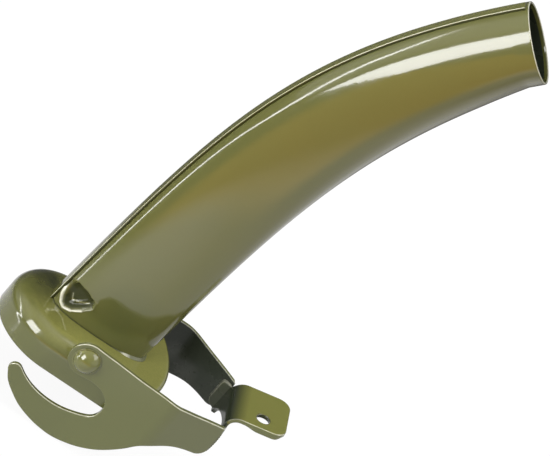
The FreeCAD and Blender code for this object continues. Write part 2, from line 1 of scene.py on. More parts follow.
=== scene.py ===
"""Pouring spout in olive enamel: a curved oval tube on a flat mouth cup, held by a hooked lever.

The cup's rim lies on z = 0. The tube rises from the cup and leans over towards +X. The lever's two
plates stand on either side of the cup (left is -Y, right is +Y), turn on rivets along the Y axis and
are joined at +X by a bent bracket with a finger tab. Sizes are in mm unless a line says otherwise;
meshes are scaled to metres as they are made.
"""

import math
from collections import namedtuple
from functools import reduce

import bpy
import bmesh
import numpy as np
from mathutils import Matrix, Vector, noise


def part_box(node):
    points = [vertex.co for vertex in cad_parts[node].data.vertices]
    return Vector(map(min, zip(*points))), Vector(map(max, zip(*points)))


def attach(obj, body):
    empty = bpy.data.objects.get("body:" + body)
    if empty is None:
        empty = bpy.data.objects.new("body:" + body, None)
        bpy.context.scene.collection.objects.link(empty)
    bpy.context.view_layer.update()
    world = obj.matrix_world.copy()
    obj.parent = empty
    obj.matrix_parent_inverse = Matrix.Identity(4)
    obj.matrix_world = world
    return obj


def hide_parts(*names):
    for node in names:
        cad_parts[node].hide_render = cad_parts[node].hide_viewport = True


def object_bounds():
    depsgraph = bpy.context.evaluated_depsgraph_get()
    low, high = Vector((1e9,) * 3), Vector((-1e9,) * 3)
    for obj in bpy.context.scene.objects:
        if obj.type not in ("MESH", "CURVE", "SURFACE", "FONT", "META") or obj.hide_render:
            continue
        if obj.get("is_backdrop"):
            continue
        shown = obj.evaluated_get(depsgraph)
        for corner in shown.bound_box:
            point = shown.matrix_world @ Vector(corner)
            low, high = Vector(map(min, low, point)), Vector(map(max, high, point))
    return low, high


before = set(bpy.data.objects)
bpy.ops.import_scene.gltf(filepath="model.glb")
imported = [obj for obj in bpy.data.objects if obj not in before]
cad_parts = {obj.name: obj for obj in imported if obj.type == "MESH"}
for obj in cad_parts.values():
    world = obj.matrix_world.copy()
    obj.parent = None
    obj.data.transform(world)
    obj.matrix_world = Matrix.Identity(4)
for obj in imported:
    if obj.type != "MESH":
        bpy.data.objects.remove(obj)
MM = 0.001


def plain(box):
    """Bounds as plain lists."""
    return [[float(v) for v in q] if hasattr(q, "__len__") else float(q) for q in box]


CAD_BOX = plain(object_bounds())


def mm_box(node):
    low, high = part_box(node)
    return [v * 1000.0 for v in low], [v * 1000.0 for v in high]


# ------------------------------------------------------------------ driving sizes
SIDES = ((-1.0, "left"), (1.0, "right"))

cup_low, cup_high = mm_box("mouth_cup")
CUP_H = cup_high[2]
CUP_HALF_W = cup_high[1]
CUP_ARC_X = cup_low[0] + CUP_HALF_W    # centre of the half-round end at -X
CUP_END_X = cup_high[0]
CUP_END_R = 59.0                       # plan radius of the +X end
CUP_CORNER_R = 9.0                     # plan radius of the two +X corners
CUP_SHOULDER = (9.2, 2.6)              # shoulder radius at the -X end and at the +X end
CUP_SHOULDER_X = (8.0, 38.0)           # where it changes from one to the other
CUP_T = 1.3
CUP_EDGE_R = 0.55

# Straight outlet collar at the tube's upper end
OUT_X, OUT_Z = 70.0, 274.84            # centre of the mouth
OUT_ANGLE = 0.68                       # lean from vertical, radians
OUT_L, OUT_R = 8.0, 19.39
OUT_LIP_R = 0.42
OUT_DIR = (math.sin(OUT_ANGLE), math.cos(OUT_ANGLE))

# Bezier control values of the tube, foot to collar
TUBE_LINE = [(1.25, CUP_H), (9.4, 136.26), (12.3, 187.7),
             (OUT_X - OUT_L * OUT_DIR[0], OUT_Z - OUT_L * OUT_DIR[1])]
TUBE_DEPTH = (26.7, 26.3, 28.1, OUT_R)     # half size in the plane of the bend
TUBE_WIDTH = (10.0, 15.0, OUT_R)           # half size along Y
TUBE_POWER = (2.64, 2.0)                   # superellipse exponent at foot and collar
TUBE_T = 1.0
TUBE_POINTS = 320                          # points round a section

STRIP_W, STRIP_T = 5.6, 1.2
STRIP_GAP = 1.5                        # from the strip's end to the outlet's lip

PIVOT_Z = 19.3
PLATE_T = 2.3
PLATE_HOLE_R = 3.2
EAR_R = 9.3                            # round end of the plate about the pivot
TAIL_X = mm_box("hook_plate_left")[1][0]
# Inner face of the right plate seen from above: corners (x, y) and the two bend radii
PLAN = [(-60.0, 31.0), (12.0, 31.0), (47.5, 33.3), (76.3, 19.5)]
PLAN_R = (60.0, 14.0)

BRACKET_T = 2.3
WALL_X, WALL_LOW = 75.6, 5.0           # -X face and lower edge of the bracket's wall
FLANGE_X = 71.4
BEND_R = 8.0
TAB_HALF_W = 15.5
TAB_CORNER_R = 6.5
TAB_RISE = math.radians(12.6)
TAB_X, TAB_Z = 103.6, 34.1             # end of the tab's upper face
TAB_HOLE_R, TAB_HOLE_X, TAB_HOLE_Y = 3.4, 91.5, -7.0

washer_low, washer_high = mm_box("head_washer_left")
WASHER_OUT_Y = -washer_low[1]
WASHER_IN_Y = -washer_high[1]
WASHER_R = 7.2
RIVET_TOP_Y = -mm_box("pivot_rivet_left")[0][1]
RIVET_R = 6.5
RIVET_SHANK_R = 3.15


# ------------------------------------------------------------------ shader graph
class Graph:
    """Short names for adding nodes to a tree; values may be sockets or constants."""

    def __init__(self, owner):
        owner.use_nodes = True
        self.tree = owner.node_tree
        self.tree.nodes.clear()
        self.coords = None

    def node(self, kind, **settings):
        made = self.tree.nodes.new("ShaderNode" + kind)
        for key, value in settings.items():
            setattr(made, key, value)
        return made

    def feed(self, socket, value):
        if isinstance(value, bpy.types.NodeSocket):
            self.tree.links.new(value, socket)
        else:
            socket.default_value = value

    def source(self, kind, output):
        return self.node(kind).outputs[output]

    def noise(self, scale, detail=3.0, rough=0.5, at=None):
        made = self.node("TexNoise")
        self.feed(made.inputs["Scale"], scale)
        self.feed(made.inputs["Detail"], detail)
        self.feed(made.inputs["Roughness"], rough)
        self.feed(made.inputs["Vector"], self.coords if at is None else at)
        return made.outputs["Fac"]

    def ramp(self, value, span, to=(0.0, 1.0)):
        """Map span onto to, clamped."""
        made = self.node("MapRange")
        for key, number in zip(("From Min", "From Max", "To Min", "To Max"), (*span, *to)):
            made.inputs[key].default_value = number
        self.feed(made.inputs["Value"], value)
        return made.outputs["Result"]

    def ramp_deg(self, value, span, to=(0.0, 1.0)):
        return self.ramp(value, [math.radians(angle) for angle in span], to)

    def mottle(self, span, to=(0.0, 1.0), **grain):
        return self.ramp(self.noise(**grain), span, to)

    def mix(self, amount, first, second):
        made = self.node("Mix", data_type="RGBA")
        self.feed(made.inputs[0], amount)
        for index, colour in ((6, first), (7, second)):
            self.feed(made.inputs[index], (*colour, 1.0) if isinstance(colour, tuple) else colour)
        return made.outputs[2]

    def calc(self, operation, *values):
        made = self.node("Math", operation=operation)
        for socket, value in zip(made.inputs, values):
            self.feed(socket, value)
        return made.outputs[0]

    def times(self, *values):
        return reduce(lambda first, second: self.calc("MULTIPLY", first, second), values)

    def plus(self, *values):
        return reduce(lambda first, second: self.calc("ADD", first, second), values)

    def vector(self, operation, first, second, output=0):
        made = self.node("VectorMath", operation=operation)
        self.feed(made.inputs[0], first)
        self.feed(made.inputs[1], second)
        return made.outputs[output]

    def separate(self, vector):
        made = self.node("SeparateXYZ")
        self.feed(made.inputs[0], vector)
        return made.outputs

    def edge_mask(self):
        """1 on sharp outer edges, 0 on flats."""
        bevel = self.node("Bevel", samples=4)
        bevel.inputs["Radius"].default_value = 0.0007
        normal = self.source("NewGeometry", "Normal")
        match = self.vector("DOT_PRODUCT", bevel.outputs["Normal"], normal, "Value")
        return self.ramp(match, span=(0.995, 0.90))

    def bump(self, shader, layers):
        """Chain of (height, strength, distance in metres)."""
        last = None
        for height, strength, distance in layers:
            made = self.node("Bump")
            self.feed(made.inputs["Strength"], strength)
            self.feed(made.inputs["Distance"], distance)
            self.feed(made.inputs["Height"], height)
            if last is not None:
                self.feed(made.inputs["Normal"], last)
            last = made.outputs["Normal"]
        self.feed(shader.inputs["Normal"], last)
        self.feed(shader.inputs["Coat Normal"], last)

    def angle_between(self, first, second):
        """Absolute difference of two angles, radians."""
        gap = self.calc("SUBTRACT", first, second)
        wrapped = self.calc("ARCTAN2", self.calc("SINE", gap), self.calc("COSINE", gap))
        return self.calc("ABSOLUTE", wrapped)

    def azimuth_elevation(self, direction):
        parts = self.separate(direction)
        return self.calc("ARCTAN2", parts["Y"], parts["X"]), self.calc("ARCSINE", parts["Z"])


def new_material(name):
    material = bpy.data.materials.new(name)
    g = Graph(material)
    output = g.node("OutputMaterial")
    shader = g.node("BsdfPrincipled")
    g.feed(output.inputs["Surface"], shader.outputs["BSDF"])
    g.coords = g.source("TexCoord", "Object")
    return material, g, shader


def scaled(colour, factor):
    return tuple(c * factor for c in colour)


# ------------------------------------------------------------------ materials
# Colours of painted light: painted shade on the bracket's wall, dark painted shade and a painted
# highlight for the per-point attribute
WALL_SHADE_COLOUR = (0.026, 0.031, 0.018)
WALL_SHADE_X = (0.0768, 0.0835)     # metres; painted shade below, full enamel above
SHADE_COLOUR = (0.018, 0.022, 0.010)
PAINTED_HIGHLIGHT_COLOUR = (0.76, 0.75, 0.60)


def enamel(name, base, alt, edge=(0.36, 0.35, 0.17), edge_amount=0.35, peel=0.05,
           rough=(0.10, 0.2), coat=1.0, top=None, spots=(), spec=0.5, shaded_wall=False):
    """Gloss stoved enamel: two close olives, orange peel, and edges lightened as a painted
    highlight.

    Each spot is a soft patch of painted shade, or of painted sheen where lighter: (centre, full
    radius, fade radius, colour, amount).
    A top colour, if given, is a lighter olive painted on upward faces as light from above.
    The wall option paints shade on the bracket's wall, dark and dull below the bend.
    The per-point attribute paints a highlight where positive and shade where negative.
    """
    material, g, shader = new_material(name)
    colour = g.mix(g.mottle(scale=16.0, span=(0.35, 0.65)), base, alt)
    if top is not None:    # painted light: upward faces lighter, as lit from above
        up = g.separate(g.source("NewGeometry", "Normal"))["Z"]
        slope = tuple(0.45 * a + 0.55 * b for a, b in zip(base, top))
        colour = g.mix(g.ramp(up, span=(0.15, 0.75)), colour, slope)
        colour = g.mix(g.ramp(up, span=(0.90, 0.99)), colour, top)
    # each spot is painted shade, or painted sheen where its colour is lighter
    for centre_mm, full_r, fade_r, tint, amount in spots:
        distance = g.vector("DISTANCE", g.coords, scaled(centre_mm, MM), "Value")
        stain_and_painted_spot = g.ramp(distance, span=(full_r * MM, fade_r * MM), to=(amount, 0.0))
        grain = g.mottle(scale=90.0, rough=0.6, span=(0.25, 0.6), to=(0.6, 1.0))
        colour = g.mix(g.times(stain_and_painted_spot, grain), colour, tint)
    fine = g.mottle(scale=900.0, detail=2.0, rough=0.6, span=(0.3, 0.7))
    colour = g.mix(g.times(fine, 0.22), colour, scaled(base, 0.90))
    # painted highlight: edges lightened towards the edge colour
    edges = g.edge_mask()
    patches = g.mottle(scale=120.0, detail=4.0, rough=0.6, span=(0.35, 0.7))
    edges = g.times(edges, g.plus(g.times(patches, 0.6), 0.4))
    colour = g.mix(g.times(edges, edge_amount), colour, edge)

    # per-point painted light: a painted highlight where positive, painted shade where negative
    painted = g.node("Attribute", attribute_name="painted_light").outputs["Fac"]
    painted_light = g.times(g.calc("MAXIMUM", painted, 0.0),
                  g.mottle(scale=260.0, rough=0.6, span=(0.3, 0.55), to=(0.7, 1.0)))
    shade = g.calc("MAXIMUM", g.times(painted, -1.0), 0.0)
    colour = g.mix(shade, colour, SHADE_COLOUR)
    colour = g.mix(painted_light, colour, PAINTED_HIGHLIGHT_COLOUR)
    # painted shade on the bracket's wall: dark and dull below the bend, full olive above
    if shaded_wall:
        full = g.ramp(g.separate(g.source("TexCoord", "Object"))["X"], span=WALL_SHADE_X)
        colour = g.mix(full, WALL_SHADE_COLOUR, colour)
        spec_level = g.ramp(full, span=(0.0, 1.0), to=(0.15, 0.5))
        coat_weight = g.ramp(full, span=(0.0, 1.0), to=(0.15, 1.0))
    else:
        spec_level = g.ramp(shade, span=(0.0, 0.8), to=(spec, spec * 0.24))
        coat_weight = g.ramp(shade, span=(0.0, 0.8), to=(coat, coat * 0.12))
    roughness = g.mottle(scale=60.0, detail=4.0, rough=0.6, span=(0.3, 0.7), to=rough)
    for key, value in (("Base Color", colour), ("Roughness", roughness),
                       ("Specular IOR Level", spec_level), ("Coat Weight", coat_weight),
                       ("Coat Roughness", 0.03), ("Coat IOR", 1.5)):
        g.feed(shader.inputs[key], value)
    g.bump(shader, [(g.noise(scale=55.0, detail=2.0), peel * 0.9, 0.0012),
                    (g.noise(scale=420.0, detail=2.0), peel, 0.0004)])
    return material


def steel(name, base, rough=0.34, streak=(1.0, 1.0, 12.0)):
    """Stained metal with grain stretched by the streak scale."""
    material, g, shader = new_material(name)
    mapping = g.node("Mapping")
    g.feed(mapping.inputs["Scale"], streak)
    g.feed(mapping.inputs["Vector"], g.coords)
    grain = g.noise(scale=300.0, detail=4.0, rough=0.6, at=mapping.outputs["Vector"])
    colour = g.mix(g.ramp(grain, span=(0.3, 0.7)), base, scaled(base, 0.72))
    stain_and_painted_spot = g.mottle(scale=40.0, detail=4.0, rough=0.6, span=(0.5, 0.75))
    colour = g.mix(g.times(stain_and_painted_spot, 0.35), colour, (0.22, 0.18, 0.13))
    g.feed(shader.inputs["Base Color"], colour)
    g.feed(shader.inputs["Metallic"], 1.0)
    g.feed(shader.inputs["Roughness"],
           g.ramp(grain, span=(0.2, 0.8), to=(rough - 0.08, rough + 0.14)))
    g.bump(shader, [(grain, 0.10, 0.0003)])
    return material


def rubber(name):
    material, g, shader = new_material(name)
    grain = g.noise(scale=500.0, detail=5.0, rough=0.65)
    colour = g.mix(g.ramp(grain, span=(0.3, 0.7)), (0.018, 0.018, 0.017), (0.035, 0.034, 0.032))
    bloom = g.mottle(scale=45.0, span=(0.5, 0.8))
    colour = g.mix(g.times(bloom, 0.3), colour, (0.07, 0.07, 0.068))
    g.feed(shader.inputs["Base Color"], colour)
    g.feed(shader.inputs["Roughness"], g.ramp(grain, span=(0.2, 0.8), to=(0.45, 0.72)))
    g.bump(shader, [(grain, 0.25, 0.0004)])
    return material


# The tube's spot is painted shade low on its -Y side, near the lever
OLIVE = enamel("olive_enamel", (0.128, 0.129, 0.037), (0.121, 0.127, 0.038),
               spots=[((6.0, -24.0, 36.0), 10.0, 26.0, (0.092, 0.104, 0.037), 0.85)])
# Cup: upward faces painted lighter as lit from above; both spots are painted shade, at the -X end
# and on the top towards +Y
OLIVE_CUP = enamel("olive_enamel_cup", (0.116, 0.122, 0.037), (0.110, 0.119, 0.037),
                   top=(0.268, 0.265, 0.070),
                   spots=[((-42.0, 2.0, 17.0), 8.0, 40.0, (0.098, 0.101, 0.026), 0.95),
                          ((-32.0, 13.0, 18.0), 6.0, 19.0, (0.022, 0.026, 0.013), 0.92)])
# Rivet heads: upward faces painted lighter as lit from above
OLIVE_RIVET = enamel("olive_enamel_rivet", (0.140, 0.143, 0.036), (0.132, 0.140, 0.036),
                     top=(0.180, 0.182, 0.046))
OLIVE_PLATE = enamel("olive_enamel_plate", (0.121, 0.129, 0.037), (0.116, 0.126, 0.037))
# Painted sheen, and a dark olive as painted shade for the plates' inner faces and the tube's bore,
# with sheen patches painted on the +Y plate
PAINTED_SHEEN = (0.125, 0.132, 0.110)
OLIVE_INNER_SHADE = enamel("olive_enamel_inner_shade", (0.024, 0.030, 0.019), (0.031, 0.037, 0.023),
                     edge_amount=0.1, peel=0.10, rough=(0.22, 0.38), coat=0.22, spec=0.3,
                     spots=[((46.7, 32.4, 11.1), 1.0, 7.0, PAINTED_SHEEN, 0.45),
                            ((57.8, 31.6, 7.5), 1.5, 8.5, PAINTED_SHEEN, 0.6),
                            ((66.5, 30.6, 4.2), 1.5, 7.0, PAINTED_SHEEN, 0.5)])
# Flanges in a dark olive as painted shade, with a painted highlight on their edges
OLIVE_FLANGE_SHADE = enamel("olive_enamel_flange_shade", (0.030, 0.036, 0.017), (0.040, 0.046, 0.021),
                      edge=(0.30, 0.30, 0.14), edge_amount=0.5, peel=0.10,
                      rough=(0.22, 0.38), coat=0.3, spec=0.35)
OLIVE_HIDDEN = enamel("olive_enamel_hidden", (0.105, 0.108, 0.030), (0.095, 0.100, 0.028),
                      edge_amount=0.5, peel=0.08, rough=(0.2, 0.35), coat=0.6)
WELD = enamel("olive_weld", (0.112, 0.118, 0.035), (0.104, 0.112, 0.033),
              edge_amount=0.1, peel=0.14, rough=(0.35, 0.5), coat=0.35)
# Tab bracket: painted shade on the wall below the bend, full olive from the bend outwards with the
# tab in a lighter olive painted as lit from above, and painted shade at the hole
TAB_HOLE_SHADE = (TAB_HOLE_X + 0.25, TAB_HOLE_Y,
             TAB_Z + (TAB_HOLE_X - TAB_X) * math.tan(TAB_RISE) - 1.15)
OLIVE_TAB_PAINTED_LIGHT = enamel("olive_enamel_tab_painted_light", (0.194, 0.194, 0.050), (0.186, 0.190, 0.049),
                   edge_amount=0.3, shaded_wall=True,
                   spots=[(TAB_HOLE_SHADE, 3.5, 4.3, (0.030, 0.020, 0.012), 0.9)])
ZINC = steel("zinc_steel", (0.60, 0.60, 0.58))
TIN = steel("tin_steel", (0.52, 0.52, 0.49), rough=0.30)
BRASS = steel("brass_gauze", (0.72, 0.52, 0.22), rough=0.30, streak=(1.0, 1.0, 1.0))
RUBBER = rubber("black_rubber")


# ------------------------------------------------------------------ mesh helpers
def new_object(name, verts, faces, material):
    """Link a mesh object; verts in mm."""
    mesh = bpy.data.meshes.new(name)
    mesh.from_pydata([(x * MM, y * MM, z * MM) for x, y, z in verts], [], faces)
    mesh.update()
    ob = bpy.data.objects.new(name, mesh)
    bpy.context.scene.collection.objects.link(ob)
    mesh.materials.append(material)
    return ob


def shade_smooth(mesh):
    mesh.polygons.foreach_set("use_smooth", [True] * len(mesh.polygons))


def finish_part(ob, body):
    ob.data.update()
    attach(ob, body)
    return ob


def make(name, verts, faces, material, body="root"):
    ob = new_object(name, verts, faces, material)
    bm = bmesh.new()
    bm.from_mesh(ob.data)
    bmesh.ops.recalc_face_normals(bm, faces=bm.faces)
    bm.to_mesh(ob.data)
    bm.free()
    shade_smooth(ob.data)
    return finish_part(ob, body)


# stores the per-point painted light: highlight above 0, shade below 0
def set_painted_light(ob, values):
    layer = ob.data.attributes.new("painted_light", "FLOAT", "POINT")
    layer.data.foreach_set("value", [float(v) for v in values])


def grid_faces(rows, cols, close_rows=False):
    """Quads between rows of cols points, each row a closed ring."""
    faces = []
    for i in range(rows if close_rows else rows - 1):
        below, above = i * cols, (i + 1) % rows * cols
        for j in range(cols):
            k = (j + 1) % cols
            faces.append((below + j, below + k, above + k, above + j))
    return faces


def capped_faces(rows, cols):
    faces = grid_faces(rows, cols)
    faces.append(tuple(range(cols)))
    faces.append(tuple(range((rows - 1) * cols, rows * cols))[::-1])
    return faces


def flatten(rows):
    return [point for row in rows for point in row]


def clamp01(value):
    return min(1.0, max(0.0, value))


def sstep(value, start, end):
    k = clamp01((value - start) / (end - start))
    return k * k * (3 - 2 * k)


def bump_at(distance, width, power=2):
    return math.exp(-(distance / width) ** power)


# ------------------------------------------------------------------ tube sections
# centre (x, z); normal and along are (x, z) directions, normal towards the tube's -X side
Station = namedtuple("Station", "centre normal along depth width power")


def bezier3(p, t):
    return ((1 - t) ** 3 * p[0] + 3 * (1 - t) ** 2 * t * p[1]
            + 3 * (1 - t) * t * t * p[2] + t ** 3 * p[3])


def bezier2(p, t):
    return (1 - t) ** 2 * p[0] + 2 * t * (1 - t) * p[1] + t * t * p[2]


def centre_at(t):
    return bezier3([p[0] for p in TUBE_LINE], t), bezier3([p[1] for p in TUBE_LINE], t)


def tangent_at(t):
    """Direction of the centre line, eased to vertical at the foot and to the collar's axis."""
    if t <= 0.0:
        return 0.0, 1.0
    h = 1e-4
    start, end = centre_at(max(t - h, 0)), centre_at(min(t + h, 1))
    dx, dz = end[0] - start[0], end[1] - start[1]
    length = math.hypot(dx, dz)
    foot = max(0.0, 1.0 - t / 0.12)
    foot = foot * foot * (3 - 2 * foot)
    dx, dz = dx / length * (1 - foot), dz / length * (1 - foot) + foot
    top = max(0.0, (t - 0.9) / 0.1)
    dx, dz = dx * (1 - top) + OUT_DIR[0] * top, dz * (1 - top) + OUT_DIR[1] * top
    length = math.hypot(dx, dz)
    return dx / length, dz / length


def station_at(t):
    dx, dz = tangent_at(t)
    return Station(centre_at(t), (-dz, dx), (dx, dz), bezier3(TUBE_DEPTH, t),
                   bezier2(TUBE_WIDTH, t), TUBE_POWER[0] * (1 - t) + TUBE_POWER[1] * t)


SWEEP = np.linspace(0.0, 2 * math.pi, 1441)


def oval(station, count=TUBE_POINTS, inset=0.0):
    """count points evenly spaced round a superellipse, starting on the normal's side."""
    k = 2.0 / station.power
    cs, sn = np.cos(SWEEP), np.sin(SWEEP)
    u = np.sign(cs) * np.abs(cs) ** k * (station.depth - inset)
    v = np.sign(sn) * np.abs(sn) ** k * (station.width - inset)
    length = np.concatenate([[0.0], np.cumsum(np.hypot(np.diff(u), np.diff(v)))])
    s = np.linspace(0.0, length[-1], count + 1)[:-1]
    u, v = np.interp(s, length, u), np.interp(s, length, v)
    (cx, cz), (nx, nz) = station.centre, station.normal
    return np.stack([cx + nx * u, v, cz + nz * u], 1)


FOOT = station_at(0.0)
TOP = station_at(1.0)


def collar_centre(h):
    """Point on the collar's axis, h above its start."""
    return TOP.centre[0] + OUT_DIR[0] * h, TOP.centre[1] + OUT_DIR[1] * h


def collar_ring(h, radius):
    return oval(TOP._replace(centre=collar_centre(h), depth=radius, width=radius, power=2.0))


# ------------------------------------------------------------------ spout tube
# Outline (x, z) of the heel pinched into both sides of the tube's foot;
# the first HEEL_TOP_EDGES edges are its upper edge
HEEL = [(-24.6, 34.9), (-21.2, 37.0), (-16.0, 36.8), (-9.2, 34.6), (-8.4, 30.6), (-12.2, 26.0),
        (-16.2, 22.4), (-20.0, 21.1), (-22.2, 22.2), (-23.8, 25.0), (-24.6, 28.6), (-24.9, 31.8)]
HEEL_EDGES = list(zip(HEEL, HEEL[1:] + HEEL[:1]))
HEEL_TOP_EDGES = 3
HEEL_TAPER_EDGE = 5                    # the rim's painted highlight starts by tapering in along this edge
HEEL_T = 0.09                          # the heel lies below this t of the centre line
HEEL_DEPTH = 4.0
HEEL_RIM = 0.28                        # height of the raised rim
# Fold line (x, z) inside the heel, painted as a highlight
FOLD = [(-21.4, 28.6), (-19.4, 25.8), (-15.8, 27.4), (-11.4, 30.6)]


def edge_distance(x, z, start, end):
    """Distance to a segment, and how far along it the nearest point is, 0 to 1."""
    (ax, az), (bx, bz) = start, end
    ex, ez = bx - ax, bz - az
    k = clamp01(((x - ax) * ex + (z - az) * ez) / (ex * ex + ez * ez))
    return math.hypot(x - ax - ex * k, z - az - ez * k), k


def heel_push(x, z):
    """Depth the tube's side is pressed in; negative on the rim outside the other edges."""
    inside = False
    to_top, to_rest = 1e9, 1e9
    for i, ((ax, az), (bx, bz)) in enumerate(HEEL_EDGES):
        if (az > z) != (bz > z) and x < ax + (z - az) / (bz - az) * (bx - ax):
            inside = not inside
        distance, _ = edge_distance(x, z, (ax, az), (bx, bz))
        if i < HEEL_TOP_EDGES:
            to_top = min(to_top, distance)
        else:
            to_rest = min(to_rest, distance)
    rim = HEEL_RIM * bump_at(to_rest, width=0.7)
    if not inside:
        return 0.0 if to_rest > to_top else -rim
    fold = 0.35 * bump_at(to_rest - 3.6, width=0.8) * sstep(x, -21.0, -16.0)
    slope = (1.0 - bump_at(to_top, width=1.3, power=1.5)) * (
        1.0 - bump_at(to_rest, width=1.9, power=1.3))
    return HEEL_DEPTH * slope - fold - rim


def heel_painted_light(x, z):
    """Painted highlight on the -X and lower rim of the heel and on its fold; painted shade in the
    pressed part.
    """
    to_rim = 1e9
    for i in range(HEEL_TAPER_EDGE, len(HEEL)):
        distance, k = edge_distance(x, z, *HEEL_EDGES[i])
        to_rim = min(to_rim, distance / (1.0 - 0.5 * k if i == HEEL_TAPER_EDGE else 1.0))
    to_fold = min(edge_distance(x, z, *edge)[0] for edge in zip(FOLD, FOLD[1:]))
    bright = max(bump_at(to_rim, width=0.52, power=4), 0.6 * bump_at(to_fold, width=0.34))
    return bright - (1 - bright) * 0.78 * sstep(heel_push(x, z), 0.5, 2.0)


def tube_steps():
    """Values of t along the outside, close together at the heel."""
    steps = [0.0, 0.003]
    t = 0.003
    while t < 0.075:
        t += 0.0011
        steps.append(t)
    while t < 0.992:
        t += 0.0062
        steps.append(min(t, 0.996))
    return steps + [1.0]


def press_outside(ring, along):
    """Outer ring with the heel pressed in along its normals."""
    step = np.roll(ring, -1, 0) - np.roll(ring, 1, 0)
    normals = np.stack([step[:, 1] * along[1],
                        -(step[:, 0] * along[1] - step[:, 2] * along[0]),
                        -step[:, 1] * along[0]], 1)
    normals /= np.linalg.norm(normals, axis=1)[:, None]
    if (normals * (ring - ring.mean(0))).sum() < 0:
        normals = -normals
    pressed = ring.copy()
    for k, (x, y, z) in enumerate(ring):
        if abs(y) < 1.2 or x > -7.0:
            continue
        push = heel_push(x, z)
        if abs(push) > 1e-4:
            pressed[k] -= normals[k] * (push * sstep(abs(y), 1.2, 3.2))
    return pressed


def press_inside(ring):
    """Move the inner ring's heel towards y = 0, stopping short of it."""
    for point in ring:
        x, y, z = point
        if abs(y) < 0.8:
            continue
        push = heel_push(x - 0.6, z)
        if push > 0:
            point[1] -= math.copysign(min(push * 1.05, max(0.0, abs(y) - 0.4)), y)


def build_tube():
    rings, painted_lights = [], []
    for t in tube_steps():
        station = station_at(t)
        ring = oval(station)
        painted_light = [0.0] * TUBE_POINTS
        if t < HEEL_T:
            # painted highlight and painted shade on the heel
            painted_light = [heel_painted_light(x, z) if x < -8.0 and abs(y) > 1.5 else 0.0 for x, y, z in ring]
            ring = press_outside(ring, station.along)
        rings.append(ring)
        painted_lights.append(painted_light)

    for h in (1.5, 3.0, 4.5, 6.0, 7.0, OUT_L - OUT_LIP_R):
        rings.append(collar_ring(h, OUT_R))
    lip_start = len(rings)
    inner_r = OUT_R - TUBE_T
    for degrees in (20, 45, 70, 90):
        angle = math.radians(degrees)
        rings.append(collar_ring(OUT_L - OUT_LIP_R + OUT_LIP_R * math.sin(angle),
                                 OUT_R - OUT_LIP_R + OUT_LIP_R * math.cos(angle)))
    for degrees in (90, 60, 30, 0):
        angle = math.radians(degrees)
        rings.append(collar_ring(OUT_L - OUT_LIP_R + OUT_LIP_R * math.sin(angle),
                                 inner_r + OUT_LIP_R - OUT_LIP_R * math.cos(angle)))
    lip_end = len(rings)

    for h in (6.0, 3.0, 0.5):
        rings.append(collar_ring(h, inner_r))
    for t in [1.0 - 0.012 * i for i in range(1, 83)] + [0.0]:
        ring = oval(station_at(t), inset=TUBE_T)
        if t < HEEL_T:
            press_inside(ring)
        rings.append(ring)

    faces = grid_faces(len(rings), TUBE_POINTS, close_rows=True)
    tube = make("tube_shell", np.concatenate(rings), faces, OLIVE)
    tube.data.materials.append(OLIVE_INNER_SHADE)
    # painted highlight on the outlet's lip
    for i in range(len(painted_lights), len(rings)):
        painted_lights.append([0.75 if lip_start <= i < lip_end - 1 else 0.0] * TUBE_POINTS)
    set_painted_light(tube, flatten(painted_lights))
    # the bore takes the dark inner olive as painted shade
    for k, polygon in enumerate(tube.data.polygons):
        if lip_end <= k // TUBE_POINTS < len(rings) - 1:
            polygon.material_index = 1
    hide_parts("spout_tube")


build_tube()


# ------------------------------------------------------------------ seam strip
def strip_row(centre, station, top, width):
    """Section of the strip: a rounded bar sunk into the tube's crest."""
    sink, radius, half = -0.55, 0.45, width / 2
    quarter = []
    for degrees in range(0, 91, 18):
        angle = math.radians(degrees)
        quarter.append((top - radius + radius * math.sin(angle),
                        half - radius + radius * math.cos(angle)))
    profile = [(sink, -half)] + [(u, -v) for u, v in quarter] + quarter[::-1] + [(sink, half)]
    return [(centre[0] + station.normal[0] * (station.depth + u), v,
             centre[1] + station.normal[1] * (station.depth + u)) for u, v in profile]


def build_strip():
    spans = 190
    end_r = 0.5
    rows = []
    for i in range(spans + 1):
        station = station_at(i / spans)
        rows.append(strip_row(station.centre, station, STRIP_T, STRIP_W))
    end_h = OUT_L - STRIP_GAP - end_r
    for h in (1.5, 3.0, 4.5, end_h):
        rows.append(strip_row(collar_centre(h), TOP, STRIP_T, STRIP_W))
    for degrees in (30, 60, 90):
        sn, cs = math.sin(math.radians(degrees)), math.cos(math.radians(degrees))
        rows.append(strip_row(collar_centre(end_h + end_r * sn), TOP,
                              STRIP_T - end_r + end_r * cs, STRIP_W - 0.3 * (1 - cs)))
    # the first row stays on the cup's top
    rows[0] = [(x, y, max(z, CUP_H - 0.3)) for x, y, z in rows[0]]
    count = len(rows[0])
    strip = make("seam_strip_bar", flatten(rows), capped_faces(len(rows), count), OLIVE)
    painted_light = [0.0] * count
    for k in (3, 4, count - 5, count - 4):    # painted highlight on the upper corners
        painted_light[k] = 0.60
    for k in (0, 1, count - 2, count - 1):    # painted shade where it meets the tube
        painted_light[k] = -0.7
    set_painted_light(strip, painted_light * len(rows))
    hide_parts("seam_strip")


build_strip()


